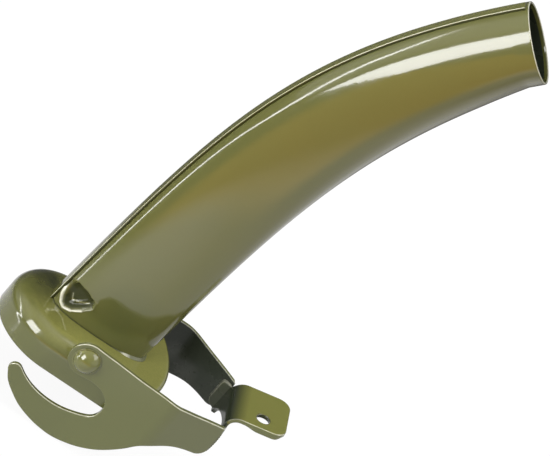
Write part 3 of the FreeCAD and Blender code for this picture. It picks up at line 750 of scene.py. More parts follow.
# ------------------------------------------------------------------ mouth cup
def cup_plan():
    """Points (x, y, outward angle) round the cup, from +Y through the -X end."""
    width, corner = CUP_HALF_W, CUP_CORNER_R
    end_x = CUP_END_X - CUP_END_R
    corner_y = width - corner
    reach = math.sqrt((CUP_END_R - corner) ** 2 - corner_y ** 2)
    corner_x = end_x + reach
    turn = math.atan2(corner_y, reach)
    points = []

    def arc(cx, cy, radius, start, sweep, steps, spans):
        for i in steps:
            g = start + sweep * i / spans
            points.append((cx + radius * math.cos(g), cy + radius * math.sin(g), g))

    arc(CUP_ARC_X, 0.0, width, math.pi / 2, math.pi, range(61), 60)
    for i in range(1, 30):
        points.append((CUP_ARC_X + (corner_x - CUP_ARC_X) * i / 30.0, -width, -math.pi / 2))
    arc(corner_x, -corner_y, corner, -math.pi / 2, math.pi / 2 - turn, range(16), 16.0)
    arc(end_x, 0.0, CUP_END_R, -turn, 2 * turn, range(25), 24.0)
    arc(corner_x, corner_y, corner, turn, math.pi / 2 - turn, range(1, 17), 16.0)
    for i in range(1, 30):
        points.append((corner_x + (CUP_ARC_X - corner_x) * i / 30.0, width, math.pi / 2))
    return points


HOLE_RING = oval(FOOT, count=720, inset=TUBE_T)
HOLE_ANGLES = np.arctan2(HOLE_RING[:, 1], HOLE_RING[:, 0] - FOOT.centre[0])


def hole_point(x, y):
    """Point of the tube's bore in the same direction as (x, y)."""
    angle = math.atan2(y, x - FOOT.centre[0])
    gaps = np.abs((HOLE_ANGLES - angle + math.pi) % (2 * math.pi) - math.pi)
    k = int(np.argmin(gaps))
    return HOLE_RING[k, 0], HOLE_RING[k, 1]


def cup_column(x, y, angle):
    """Closed section: rim, outer wall, shoulder, top to the bore, and back inside."""
    radius = CUP_SHOULDER[0] + (CUP_SHOULDER[1] - CUP_SHOULDER[0]) * sstep(x, *CUP_SHOULDER_X)
    cs, sn = math.cos(angle), math.sin(angle)
    column = []

    def put(inset, z):
        column.append((x - inset * cs, y - inset * sn, z))

    def put_arc(steps, inset, inset_r, z, z_r):
        for degrees in steps:
            k = math.radians(degrees)
            put(inset + inset_r * math.cos(k), z + z_r * math.sin(k))

    edge = CUP_EDGE_R
    put_arc((90, 60, 30, 0), edge, -edge, edge, -edge)
    for z in (2.0, 5.0, 8.0):
        put(0.0, min(z, CUP_H - radius - 0.1))
    put_arc(range(0, 91, 6), radius, -radius, CUP_H - radius, radius)
    top = column[-1]
    hole = hole_point(x, y)

    def put_towards_hole(start, share, z):
        column.append((start[0] * (1 - share) + hole[0] * share,
                       start[1] * (1 - share) + hole[1] * share, z))

    for share in (0.25, 0.6, 0.9):
        put_towards_hole(top, share, CUP_H)
    under = CUP_H - CUP_T
    column.append((*hole, CUP_H))
    column.append((*hole, under))
    inner_r = max(radius - CUP_T, 0.8)
    inner_top = (x - (CUP_T + inner_r) * cs, y - (CUP_T + inner_r) * sn)
    for share in (0.6, 0.2):
        put_towards_hole(inner_top, share, under)
    put_arc(range(90, -1, -10), CUP_T + inner_r, -inner_r, under - inner_r, inner_r)
    for z in (8.0, 5.0, 2.0):
        put(CUP_T, min(z, under - inner_r - 0.1))
    put_arc((0, 30, 60, 90), CUP_T - edge, edge, edge, -edge)
    return column


columns = [cup_column(*point) for point in cup_plan()]
cup = make("cup_shell", flatten(columns),
           grid_faces(len(columns), len(columns[0]), close_rows=True), OLIVE_CUP)
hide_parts("mouth_cup")


# ------------------------------------------------------------------ weld round the tube's foot
WELD_RIPPLE = 1.25                     # pitch of the ripples
# Bead section (share of its width, share of its height) down the outer slope
WELD_SLOPE = [(0.14, 0.86), (0.32, 0.64), (0.55, 0.40), (0.80, 0.16)]


def foot_weld_painted_light(x, y):
    """Painted highlight as one bright spot on the left; painted shade towards -X."""
    spot = 0.0
    if y < 0:
        spot = math.exp(-(((x - 18.5) / 2.6) ** 2 + ((y + 10.8) / 2.6) ** 2) ** 2)
    return spot - 0.7 * (1 - sstep(x, 8.0, 16.0))


def build_foot_weld():
    """Fillet bead, thin at -X and heavy with ripples at +X."""
    count = 420
    foot = oval(FOOT, count)
    step = np.roll(foot, -1, 0) - np.roll(foot, 1, 0)
    normals = np.stack([step[:, 1], -step[:, 0]], 1)
    normals /= np.linalg.norm(normals, axis=1)[:, None]
    if (normals * (foot[:, :2] - np.array([FOOT.centre[0], 0.0]))).sum() < 0:
        normals = -normals
    rows = []
    arc = 0.0
    for k in range(count):
        x, y = foot[k, 0], foot[k, 1]
        nx, ny = normals[k]
        if k:
            arc += math.hypot(*(foot[k, :2] - foot[k - 1, :2]))
        heavy = sstep(x, 12.0, 24.0)
        drift = 2.2 * noise.noise(Vector((arc * 0.12, 3.1, 0.0)))
        ripple = 0.5 + 0.5 * math.sin(arc / WELD_RIPPLE * 2 * math.pi + drift)
        uneven = noise.noise(Vector((x * 0.22, y * 0.22, 1.7)))
        height = 0.30 + heavy * 0.85 + 0.16 * ripple * heavy + 0.10 * uneven
        width = 0.32 + heavy * 1.10 + 0.20 * ripple * heavy + 0.12 * uneven
        profile = [(-0.5, -0.3), (-0.5, height * 0.7), (-0.05, height)]
        profile += [(width * across, height * up) for across, up in WELD_SLOPE]
        profile += [(width, 0.0), (width * 0.9, -0.3)]
        rows.append([(x + nx * u, y + ny * u, CUP_H + v) for u, v in profile])
    faces = grid_faces(count, len(rows[0]), close_rows=True)
    weld = make("weld_tube_foot", flatten(rows), faces, WELD)
    set_painted_light(weld, [foot_weld_painted_light(x, y) for x, y, _ in flatten(rows)])


build_foot_weld()


# ------------------------------------------------------------------ flat outlines
def spline(points, spans):
    """Catmull-Rom curve through the points, spans steps between each two."""
    p = [np.array(point, float) for point in points]
    p = [2 * p[0] - p[1]] + p + [2 * p[-1] - p[-2]]
    curve = []
    for i in range(1, len(p) - 2):
        for k in range(spans):
            s = k / spans
            curve.append(tuple(0.5 * (
                (2 * p[i]) + (p[i + 1] - p[i - 1]) * s
                + (2 * p[i - 1] - 5 * p[i] + 4 * p[i + 1] - p[i + 2]) * s * s
                + (3 * p[i] - p[i - 1] - 3 * p[i + 1] + p[i + 2]) * s ** 3)))
    curve.append(tuple(p[-2]))
    return curve


def arc_through(start, middle, end, spans):
    """Points on the circle through three points, from start to end."""
    ax, ay = start
    bx, by = middle
    cx, cy = end
    det = 2 * (ax * (by - cy) + bx * (cy - ay) + cx * (ay - by))
    sq_a, sq_b, sq_c = ax * ax + ay * ay, bx * bx + by * by, cx * cx + cy * cy
    ox = (sq_a * (by - cy) + sq_b * (cy - ay) + sq_c * (ay - by)) / det
    oy = (sq_a * (cx - bx) + sq_b * (ax - cx) + sq_c * (bx - ax)) / det
    radius = math.hypot(ax - ox, ay - oy)
    first = math.atan2(ay - oy, ax - ox)
    sweep = (math.atan2(cy - oy, cx - ox) - first) % (2 * math.pi)
    if (math.atan2(by - oy, bx - ox) - first) % (2 * math.pi) > sweep:
        sweep -= 2 * math.pi
    return [(ox + radius * math.cos(first + sweep * i / spans),
             oy + radius * math.sin(first + sweep * i / spans)) for i in range(spans + 1)]


def circle(cx, cy, radius):
    return np.array([(cx + radius * math.cos(k * math.pi / 24),
                      cy + radius * math.sin(k * math.pi / 24)) for k in range(48)])


def resample(loop, step):
    """Closed loop of 2-D points, evenly spaced about step apart."""
    points = np.array(loop + [loop[0]], float)
    gaps = np.hypot(*np.diff(points, axis=0).T)
    points = points[np.concatenate([[True], gaps > 1e-6])]
    s = np.concatenate([[0.0], np.cumsum(np.hypot(*np.diff(points, axis=0).T))])
    count = int(round(s[-1] / step))
    q = np.linspace(0, s[-1], count + 1)[:-1]
    return np.stack([np.interp(q, s, points[:, 0]), np.interp(q, s, points[:, 1])], 1)


def loop_normals(loop):
    """Outward normals of a closed loop."""
    step = np.roll(loop, -1, 0) - np.roll(loop, 1, 0)
    step /= np.linalg.norm(step, axis=1)[:, None]
    normals = np.stack([step[:, 1], -step[:, 0]], 1)
    area = 0.5 * np.sum(loop[:, 0] * np.roll(loop[:, 1], -1)
                        - np.roll(loop[:, 0], -1) * loop[:, 1])
    return normals if area > 0 else -normals


# ------------------------------------------------------------------ sheet parts
def fill_outline(rims, cuts):
    """Fill between closed rims and split at the cuts; gives points, faces, border chains."""
    bm = bmesh.new()
    for rim in rims:
        verts = [bm.verts.new((x, y, 0.0)) for x, y in rim]
        for i in range(len(verts)):
            bm.edges.new((verts[i], verts[(i + 1) % len(verts)]))
    bmesh.ops.triangle_fill(bm, use_beauty=True, use_dissolve=False, edges=bm.edges[:])
    for u in cuts:
        bmesh.ops.bisect_plane(bm, geom=bm.verts[:] + bm.edges[:] + bm.faces[:],
                               plane_co=(u, 0, 0), plane_no=(1, 0, 0), dist=1e-5)
    bmesh.ops.remove_doubles(bm, verts=bm.verts[:], dist=1e-4)
    bm.verts.ensure_lookup_table()
    bm.verts.index_update()
    faces = [[v.index for v in face.verts] for face in bm.faces]
    flat = [(v.co.x, v.co.y) for v in bm.verts]
    neighbours = {}
    for edge in bm.edges:
        if len(edge.link_faces) == 1:
            a, b = edge.verts[0].index, edge.verts[1].index
            neighbours.setdefault(a, []).append(b)
            neighbours.setdefault(b, []).append(a)
    bm.free()
    used = set()
    chains = []
    for start in neighbours:
        if start in used:
            continue
        chain = []
        onward = [start]
        while onward:
            used.add(onward[0])
            chain.append(onward[0])
            onward = [k for k in neighbours[chain[-1]] if k not in used]
        chains.append(chain)
    return flat, faces, chains


def sheet(outline, holes, cuts, surface, radius):
    """Closed sheet with rounded edges from a flat outline with holes.

    surface(u, v, side) gives (point, normal) on side 0 or 1; cuts are u values where
    the faces are split. Returns verts, faces, normals.
    """
    outward = [loop_normals(outline)] + [-loop_normals(hole) for hole in holes]
    rims = [loop - out * radius for loop, out in zip([outline] + holes, outward)]
    flat, fill, chains = fill_outline(rims, cuts)
    count = len(flat)
    verts, normals, faces = [], [], []
    for side in (0, 1):
        for u, v in flat:
            point, normal = surface(u, v, side)
            verts.append(point)
            normals.append(normal)
        for face in fill:
            ids = [side * count + k for k in face]
            faces.append(ids if side else ids[::-1])

    # rounded edge between the two sides
    rim_points, rim_outward = np.concatenate(rims), np.concatenate(outward)
    for chain in chains:
        columns = []
        for k in chain:
            u, v = flat[k]
            distance = np.hypot(rim_points[:, 0] - u, rim_points[:, 1] - v)
            near = np.argsort(distance)[:2]
            weight = 1.0 / (distance[near] + 1e-6)
            out = (rim_outward[near] * weight[:, None]).sum(0)
            out /= np.linalg.norm(out)
            reach = (np.array(surface(u + out[0] * radius, v + out[1] * radius, 1)[0])
                     - np.array(surface(u, v, 1)[0]))
            upper, lower = [count + k], []
            for degrees in (18, 36, 54, 72, 90):
                angle = math.radians(degrees)
                offset = radius * math.sin(angle)
                drop = radius * (1 - math.cos(angle))
                ends = [[np.array(a) for a in
                         surface(u + out[0] * offset, v + out[1] * offset, side)]
                        for side in (1, 0)]
                face_normal = ends[0][1]
                along = reach - face_normal * np.dot(reach, face_normal)
                along /= np.linalg.norm(along) + 1e-9
                for (point, normal), ids in zip(ends, (upper, lower)):
                    rolled = normal * math.cos(angle) + along * math.sin(angle)
                    ids.append(len(verts))
                    verts.append(point - normal * drop)
                    normals.append(rolled / np.linalg.norm(rolled))
            columns.append(upper + lower[::-1] + [k])
        for a, b in zip(columns, columns[1:] + columns[:1]):
            for j in range(len(a) - 1):
                faces.append([a[j], a[j + 1], b[j + 1], b[j]])
    return verts, faces, normals


def make_sheet(name, data, material, painted_light, inner=None, pick=None):
    """Lever part from sheet data.

    The per-point function takes (point, normal) and gives the painted highlight, above 0, or painted
    shade, below 0; faces where pick(centre, normal) holds get inner.
    """
    verts, loose_faces, normals = data
    points, normals = np.array(verts), np.array(normals)
    faces = []
    for face in loose_faces:    # wind each face to agree with its stored normals
        a, b, c = points[face[0]], points[face[1]], points[face[2]]
        wound = np.cross(b - a, c - a)
        if len(face) > 3:
            wound = wound + np.cross(c - a, points[face[3]] - a)
        if np.dot(wound, normals[face].sum(0)) < 0:
            face = face[::-1]
        faces.append(tuple(face))
    ob = new_object(name, verts, faces, material)
    mesh = ob.data
    shade_smooth(mesh)
    set_painted_light(ob, [painted_light(point, normal) for point, normal in zip(points, normals)])
    if inner is not None:
        mesh.materials.append(inner)
        for polygon in mesh.polygons:
            if pick(polygon.center / MM, normals[list(polygon.vertices)].mean(0)):
                polygon.material_index = 1
    mesh.normals_split_custom_set_from_vertices([tuple(float(k) for k in n) for n in normals])
    return finish_part(ob, "lever")


# ------------------------------------------------------------------ hook plates
# Outlines (x, z): lower edge from the hook's tip to the tail, and the hook's inner edge back
LOWER_EDGE = [(-27.0, -8.2), (-23.2, -13.8), (-17.7, -18.3), (-10.8, -22.5), (-2.0, -25.5),
              (5.0, -26.69), (11.0, -26.88), (17.0, -25.7), (23.6, -23.4), (30.0, -19.9),
              (35.4, -15.6), (41.1, -9.6), (46.5, -2.9), (53.9, 1.2), (60.0, 3.4),
              (66.0, 4.0), (72.3, 3.7)]
HOOK_INNER = [(21.2, 2.2), (20.9, -1.6), (18.7, -5.3), (13.0, -8.4), (6.0, -10.4),
              (-0.5, -10.9), (-6.8, -10.4), (-12.8, -8.9), (-17.9, -6.6), (-22.0, -3.9)]
UPPER_EDGE = [(TAIL_X - 1.0, 23.6), (68.0, 24.6), (60.0, 25.4), (51.0, 26.5), (42.0, 27.4),
              (28.0, 27.4), (15.0, 27.8), (7.0, 28.1)]
EAR_TO_HOOK = [(5.0, 10.6), (10.0, 10.9), (14.8, 9.8), (18.6, 7.2), (20.6, 4.6)]
TAIL_LOW, TAIL_HIGH = 7.2, 22.6        # straight part of the tail's edge


def ear_point(degrees):
    angle = math.radians(degrees)
    return EAR_R * math.cos(angle), PIVOT_Z + EAR_R * math.sin(angle)


def plate_outline():
    ear_start, ear_middle, ear_end = ear_point(80), ear_point(178), ear_point(275)
    loop = spline(LOWER_EDGE, 8)
    loop += arc_through(LOWER_EDGE[-1], (75.0, 4.7), (TAIL_X, TAIL_LOW), 10)[1:]
    loop += [(TAIL_X, TAIL_LOW + (TAIL_HIGH - TAIL_LOW) * i / 12) for i in range(1, 13)]
    loop += arc_through((TAIL_X, TAIL_HIGH), (TAIL_X - 0.3, 23.3), UPPER_EDGE[0], 4)[1:]
    loop += spline(UPPER_EDGE + [ear_start], 8)[1:]
    loop += arc_through(ear_start, ear_middle, ear_end, 40)[1:]
    loop += spline([ear_end] + EAR_TO_HOOK + [HOOK_INNER[0]], 8)[1:]
    loop += spline(HOOK_INNER, 8)[1:]
    loop += arc_through(HOOK_INNER[-1], (-25.9, -4.0), LOWER_EDGE[0], 14)[1:-1]
    return resample(loop, 0.75)


def plan_path(offset):
    """PLAN with its bends rounded, moved outwards by offset, as dense (x, y) points."""
    lines = []
    for (ax, ay), (bx, by) in zip(PLAN[:-1], PLAN[1:]):
        length = math.hypot(bx - ax, by - ay)
        ux, uy = (bx - ax) / length, (by - ay) / length
        lines.append((ax - uy * offset, ay + ux * offset, ux, uy))
    points = [lines[0][:2]]
    for (x0, y0, ux, uy), (x1, y1, vx, vy), bend in zip(lines[:-1], lines[1:], PLAN_R):
        cross = ux * vy - uy * vx
        s = ((x1 - x0) * vy - (y1 - y0) * vx) / cross
        cx, cy = x0 + ux * s, y0 + uy * s
        turn = math.atan2(cross, ux * vx + uy * vy)
        radius = bend - offset if turn > 0 else bend + offset
        back = radius * math.tan(abs(turn) / 2)
        sign = 1.0 if turn > 0 else -1.0
        ox, oy = cx - ux * back - uy * radius * sign, cy - uy * back + ux * radius * sign
        first = math.atan2(cy - uy * back - oy, cx - ux * back - ox)
        for i in range(25):
            angle = first + turn * i / 24
            points.append((ox + radius * math.cos(angle), oy + radius * math.sin(angle)))
    x0, y0, ux, uy = lines[-1]
    points.append((x0 + ux * 60, y0 + uy * 60))
    return np.array(points)


PATH_IN, PATH_OUT = plan_path(0.0), plan_path(PLATE_T)


def path_y(path, x):
    """y and slope of a plan path at x."""
    h = 0.4
    y, after, before = (float(np.interp(at, path[:, 0], path[:, 1])) for at in (x, x + h, x - h))
    return y, (after - before) / (2 * h)


def upright(sign, x, y, z, slope, facing):
    """Point and normal on a standing wall; facing 1 is away from y = 0, -1 towards it."""
    nx, ny = -slope * facing, facing
    length = math.hypot(nx, ny)
    return (x, sign * y, z), (nx / length, sign * ny / length, 0.0)


def build_plate(sign, side_name):
    def surface(u, v, side):
        y, slope = path_y(PATH_OUT if side else PATH_IN, u)
        return upright(sign, u, y, v, slope, 1.0 if side else -1.0)

    # painted highlight on upward-facing rounded edges, weaker on the right plate
    def painted_light(point, normal):
        up = normal[2]
        return ((0.72 if side_name == "left" else 0.4) * sstep(up, 0.2, 0.42)
                * sstep(abs(normal[1]), 0.12, 0.3) * (1 - sstep(up, 0.93, 0.98)))

    # splits where the plate bends
    cuts = [9.5 + 0.6 * i for i in range(9)] + [43.0 + 0.45 * i for i in range(20)]
    holes = [circle(0.0, PIVOT_Z, PLATE_HOLE_R)]
    # inner faces take the dark inner olive as painted shade
    plate = make_sheet("hook_arm_" + side_name,
                       sheet(plate_outline(), holes, cuts, surface, radius=0.5),
                       OLIVE_PLATE, painted_light, inner=OLIVE_INNER_SHADE,
                       pick=lambda centre, normal: normal[1] * sign < -0.6)
    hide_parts("hook_plate_" + side_name)


for sign, side_name in SIDES:
    build_plate(sign, side_name)

# ------------------------------------------------------------------ tab bracket
# The bracket is laid out flat: u runs up the wall, round the bend and out along the tab
TAB_DIR = (math.cos(TAB_RISE), math.sin(TAB_RISE))
TAB_NORMAL = (-math.sin(TAB_RISE), math.cos(TAB_RISE))
BEND_X = WALL_X + BEND_R
BEND_Z = TAB_Z + (BEND_X - TAB_X) / TAB_DIR[0] * TAB_DIR[1] - BEND_R / TAB_DIR[0]
BEND_ARC = math.pi / 2 - TAB_RISE
TAB_START = (BEND_X + BEND_R * math.cos(math.pi - BEND_ARC),
             BEND_Z + BEND_R * math.sin(math.pi - BEND_ARC))
U_BEND = BEND_Z - WALL_LOW
U_TAB = U_BEND + BEND_R * BEND_ARC
U_END = U_TAB + (TAB_X - TAB_START[0]) / TAB_DIR[0]
U_HOLE = U_TAB + (TAB_HOLE_X - TAB_START[0]) / TAB_DIR[0]
# Arched notch (y, z) in the wall's lower edge, from +Y to -Y
ARCH = [(14.6, 6.6), (13.4, 8.3), (10.5, 10.8), (6.0, 13.5), (0.6, 16.0), (-6.0, 18.2),
        (-11.5, 19.3), (-14.6, 19.2), (-16.2, 18.0), (-16.8, 15.5)]


def bracket_profile(u):
    """Point (x, z) and normal of the face that is -X on the wall and upper on the tab."""
    if u <= U_BEND:
        return (WALL_X, WALL_LOW + u), (-1.0, 0.0)
    if u <= U_TAB:
        angle = math.pi - (u - U_BEND) / BEND_R
        cs, sn = math.cos(angle), math.sin(angle)
        return (BEND_X + BEND_R * cs, BEND_Z + BEND_R * sn), (cs, sn)
    run = u - U_TAB
    return (TAB_START[0] + TAB_DIR[0] * run, TAB_START[1] + TAB_DIR[1] * run), TAB_NORMAL


def bracket_surface(u, v, side):
    (x, z), (nx, nz) = bracket_profile(u)
    if side:
        return (x, v, z), (nx, 0.0, nz)
    # lip under the tab's side edges
    lip = 1.3 * sstep(u, U_TAB + 1.5, U_TAB + 9.0) * (1 - sstep(u, U_END - 4.5, U_END - 0.8))
    thick = BRACKET_T + (1.0 - sstep(max(0.0, TAB_HALF_W - abs(v)), 1.6, 2.4)) * lip
    return (x - nx * thick, v, z - nz * thick), (-nx, 0.0, -nz)


def bracket_outline():
    """Flat outline (u, y): +Y half, -Y half, then the lower edge with its arch."""
    (ax, ay), (bx, by) = PLAN[2:]
    half_y = ay + (by - ay) * (WALL_X + BRACKET_T - ax) / (bx - ax) - 0.1
    corner = 0.8
    wall_u = 18.0 - WALL_LOW
    neck_u = 27.0 - WALL_LOW
    # narrowing (z, y) from the wall to the tab
    neck = [(18.0, half_y), (20.0, half_y - 0.4), (21.8, half_y - 1.7),
            (23.4, TAB_HALF_W + 0.5), (25.4, TAB_HALF_W), (27.0, TAB_HALF_W)]
    half = arc_through((0.0, half_y - corner), (0.23, half_y - 0.23), (corner, half_y), 5)
    half += [(corner + (wall_u - corner) * i / 10, half_y) for i in range(1, 11)]
    half += spline([(z - WALL_LOW, y) for z, y in neck], 6)[1:]
    end_u, end_y = U_END - TAB_CORNER_R, TAB_HALF_W - TAB_CORNER_R
    half += [(neck_u + (end_u - neck_u) * i / 16, TAB_HALF_W) for i in range(1, 17)]
    for i in range(1, 13):
        angle = math.pi / 2 * (1 - i / 12.0)
        half.append((end_u + TAB_CORNER_R * math.cos(angle),
                     end_y + TAB_CORNER_R * math.sin(angle)))
    half += [(U_END, end_y * (1 - i / 6.0)) for i in range(1, 7)]

    foot_y = half_y - corner
    arch_side = ARCH[-1][0]
    low_u, high_u = 5.0 - WALL_LOW, 15.5 - WALL_LOW
    left_foot = [(0.0, -half_y + corner + (foot_y + arch_side) * i / 4) for i in range(1, 5)]
    left_foot += [(low_u + (high_u - low_u) * i / 8, arch_side) for i in range(1, 8)]
    arch = [(z - WALL_LOW, y) for y, z in spline(ARCH, 6)]
    right_foot = [(0.6, 15.0), (0.0, 15.3)]
    right_foot += [(0.0, 15.3 + (foot_y - 15.3) * i / 4) for i in range(1, 4)]
    mirrored = [(u, -y) for u, y in half[::-1][1:]]
    return resample(half + mirrored + left_foot + arch[::-1] + right_foot, 0.7)


def bracket_painted_light(point, normal):
    """Painted shade in the hole, painted highlight on the upper edges."""
    from_hole = math.hypot(point[0] - TAB_HOLE_X, point[1] - TAB_HOLE_Y)
    if from_hole < TAB_HOLE_R + 1.2:
        return -0.85 * (1 - sstep(normal[2], 0.5, 0.9))
    return 0.65 * sstep(normal[2], 0.3, 0.5) * sstep(abs(normal[1]), 0.25, 0.45)


def on_tab_side(centre, normal):
    """Upper and -X faces, and the edges low on the wall."""
    return (normal[2] > 0.3 or normal[0] < -0.5
            or (centre[0] < 78.6 and centre[2] < 22.0 and normal[0] < 0.5))


bracket_cuts = [U_BEND + (U_TAB - U_BEND) * i / 16 for i in range(17)]
bracket_cuts += [U_TAB + 2.0 * i for i in range(1, 10)]
# tab side faces take the tab olive: painted light on the upper faces, painted shade on the wall
bracket = make_sheet("tab_bracket",
                     sheet(bracket_outline(), [circle(U_HOLE, TAB_HOLE_Y, TAB_HOLE_R)],
                           bracket_cuts, bracket_surface, radius=0.5),
                     OLIVE_PLATE, bracket_painted_light, inner=OLIVE_TAB_PAINTED_LIGHT, pick=on_tab_side)
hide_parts("lever_tab_bracket")

# ------------------------------------------------------------------ bracket flanges, tail welds
# Flange outline (x, z), with a rounded corner into the wall
FLANGE = [(FLANGE_X, 9.0), (FLANGE_X + 0.8, 7.2), (FLANGE_X + 2.2, 6.2), (WALL_X + 0.6, 5.6),
          (WALL_X + 1.6, 7.0), (WALL_X + 1.9, 12.0), (WALL_X + 1.7, 20.0), (WALL_X + 0.4, 21.6),
          (FLANGE_X + 2.0, 21.6), (FLANGE_X + 0.5, 20.9), (FLANGE_X, 19.4)]
TAIL_WELD_Z = (6.4, 20.6)


def build_flange(sign, side_name):
    """Flange lying on the plate's inner face."""
    def surface(u, v, side):
        y, slope = path_y(PATH_IN, u)
        if side:
            return upright(sign, u, y - 0.03, v, slope, 1.0)
        return upright(sign, u, y - BRACKET_T / math.cos(math.atan(slope)), v, slope, -1.0)

    # dark flange olive as painted shade; painted highlight on edges not facing Y
    make_sheet("tab_flange_" + side_name,
               sheet(resample(FLANGE, 0.7), [], [], surface, radius=0.45), OLIVE_FLANGE_SHADE,
               lambda point, normal: 0.32 * (1 - sstep(abs(normal[1]), 0.25, 0.75)))


def build_tail_weld(sign, side_name):
    """Rippled bead where the plate's tail meets the bracket's wall."""
    spans, around = 60, 10
    x = TAIL_X - 0.1
    y = path_y(PATH_IN, TAIL_X)[0] + 0.7
    low, high = TAIL_WELD_Z
    rows = []
    for i in range(spans + 1):
        drift = 1.6 * noise.noise(Vector((i * 0.09, sign * 2.0, 4.0)))
        ripple = 0.5 + 0.5 * math.sin(i * 1.15 + drift)
        taper = math.sin(math.pi * clamp01((i + 2) / (spans + 4))) ** 0.35
        radius = (0.95 + 0.22 * ripple) * taper
        z = low + (high - low) * i / spans
        rows.append([(x + radius * math.cos(angle), sign * (y + radius * 1.15 * math.sin(angle)), z)
                     for angle in (2 * math.pi * k / around for k in range(around))])
    make("weld_tail_" + side_name, flatten(rows), capped_faces(len(rows), around), WELD, "lever")


for sign, side_name in SIDES:
    build_flange(sign, side_name)
    build_tail_weld(sign, side_name)

# ------------------------------------------------------------------ rivets and washers
TURNED_POINTS = 72


def turned(profile, sign, wobble=0.0):
    """Rings about the pivot from (radius, distance from y = 0)."""
    verts = []
    for j, (radius, y) in enumerate(profile):
        for k in range(TURNED_POINTS):
            angle = 2 * math.pi * k / TURNED_POINTS
            cs, sn = math.cos(angle), math.sin(angle)
            r = radius * (1.0 + wobble * noise.noise(Vector((cs * 1.3, sn * 1.3, j * 0.2 + sign))))
            verts.append((r * cs, sign * y, PIVOT_Z + r * sn))
    return verts


def build_rivet(sign, side_name):
    """Shank and domed head."""
    height = RIVET_TOP_Y - WASHER_OUT_Y
    rim = 0.25                         # upright rim below the dome
    dome_r = (RIVET_R * RIVET_R + height * height) / (2 * height)
    widest = math.asin(min(1.0, RIVET_R / dome_r))
    profile = [(RIVET_SHANK_R, 27.8), (RIVET_SHANK_R, WASHER_OUT_Y - 0.2),
               (RIVET_R - 0.25, WASHER_OUT_Y - 0.2), (RIVET_R, WASHER_OUT_Y + 0.05),
               (RIVET_R, WASHER_OUT_Y + rim)]
    for i in range(1, 21):
        angle = widest * (1 - i / 22.0)
        rise = (math.cos(angle) - math.cos(widest)) / (1 - math.cos(widest))
        profile.append((dome_r * math.sin(angle), WASHER_OUT_Y + rim + (height - rim) * rise))
    profile.append((0.35, RIVET_TOP_Y - 0.002))
    verts = turned(profile, sign, wobble=0.006)
    faces = grid_faces(len(profile), TURNED_POINTS)
    faces.append(tuple(range(TURNED_POINTS)))
    tip = len(verts)
    last_ring = tip - TURNED_POINTS
    verts.append((0.0, sign * profile[-1][1], PIVOT_Z))
    for k in range(TURNED_POINTS):
        faces.append((last_ring + k, last_ring + (k + 1) % TURNED_POINTS, tip))
    rivet = make("rivet_head_" + side_name, verts, faces, OLIVE_RIVET)
    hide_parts("pivot_rivet_" + side_name)


def build_washer(sign, side_name):
    profile = [(3.3, WASHER_IN_Y + 0.02), (WASHER_R - 0.15, WASHER_IN_Y + 0.02),
               (WASHER_R, WASHER_IN_Y + 0.14), (WASHER_R, WASHER_OUT_Y - 0.16),
               (WASHER_R - 0.16, WASHER_OUT_Y - 0.02), (3.3, WASHER_OUT_Y - 0.02)]
    washer = make("head_washer_ring_" + side_name, turned(profile, sign),
                  grid_faces(len(profile), TURNED_POINTS, close_rows=True), OLIVE)
    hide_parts("head_washer_" + side_name)


for sign, side_name in SIDES:
    build_rivet(sign, side_name)
    build_washer(sign, side_name)

# ------------------------------------------------------------------ materials of kept CAD pieces
KEPT = {"pivot_lug_left": OLIVE_HIDDEN, "pivot_lug_right": OLIVE_HIDDEN,
        "spacer_washer_left": ZINC, "spacer_washer_right": ZINC,
        "mouth_gasket": RUBBER, "gasket_retainer": TIN, "strainer_frame": TIN,
        "strainer_gauze": BRASS, "breather_tube": TIN, "breather_clips": TIN}
for node_name, material in KEPT.items():
    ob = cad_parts[node_name]
    if not ob.data.materials:
        ob.data.materials.append(material)
    for slot in ob.material_slots:
        slot.material = material

# ------------------------------------------------------------------ camera, metres
CAMERA_PLACE = (-0.47599, -1.90171, 1.16226)
CAMERA_RIGHT = (0.80350665, 0.10604489, 0.58577432)
CAMERA_UP = (-0.54945293, 0.51077794, 0.66121658)
CAMERA_BACK = (-0.22908196, -0.85314734, 0.46868015)
scene = bpy.context.scene
camera_data = bpy.data.cameras.new("camera")
camera = bpy.data.objects.new("camera", camera_data)
scene.collection.objects.link(camera)
camera.matrix_world = Matrix((*zip(CAMERA_RIGHT, CAMERA_UP, CAMERA_BACK, CAMERA_PLACE),
                              (0, 0, 0, 1)))
camera_data.sensor_fit = "HORIZONTAL"
camera_data.sensor_width = 36.0
camera_data.lens = 309.9927273
camera_data.clip_start = 0.05
camera_data.clip_end = 30.0
scene.camera = camera

# ------------------------------------------------------------------ strip light
# Narrow bent light at -X, seen by floor and world alike: (elevation, azimuth) in degrees
STRIP_LIGHT = [(-26, 190), (-20, 184), (-14, 188), (-9, 195), (-4, 194), (2, 188), (8, 182),
               (13, 178), (17, 170), (19.5, 160)]
CURVE_ELEVATION = (-30.0, 30.0)        # ranges covered by the curve node
CURVE_AZIMUTH = (150.0, 210.0)


def strip_light(g, azimuth, elevation):
    curve_node = g.node("FloatCurve")
    points = curve_node.mapping.curves[0].points
    places = [tuple((value - low) / (high - low) for value, (low, high)
                    in zip(entry, (CURVE_ELEVATION, CURVE_AZIMUTH))) for entry in STRIP_LIGHT]
    points[0].location = places[0]
    points[1].location = places[-1]
    for place in places[1:-1]:
        points.new(*place)
    curve_node.mapping.update()
    g.feed(curve_node.inputs["Value"], g.ramp_deg(elevation, span=CURVE_ELEVATION))
    middle = g.ramp(curve_node.outputs["Value"], span=(0.0, 1.0),
                    to=[math.radians(angle) for angle in CURVE_AZIMUTH])
    return g.times(g.ramp_deg(g.angle_between(azimuth, middle), span=(3.4, 1.8)),
                   g.ramp_deg(elevation, span=(20.5, 18.0)),
                   g.ramp_deg(elevation, span=(-31, -27), to=(0.0, 10.0)))


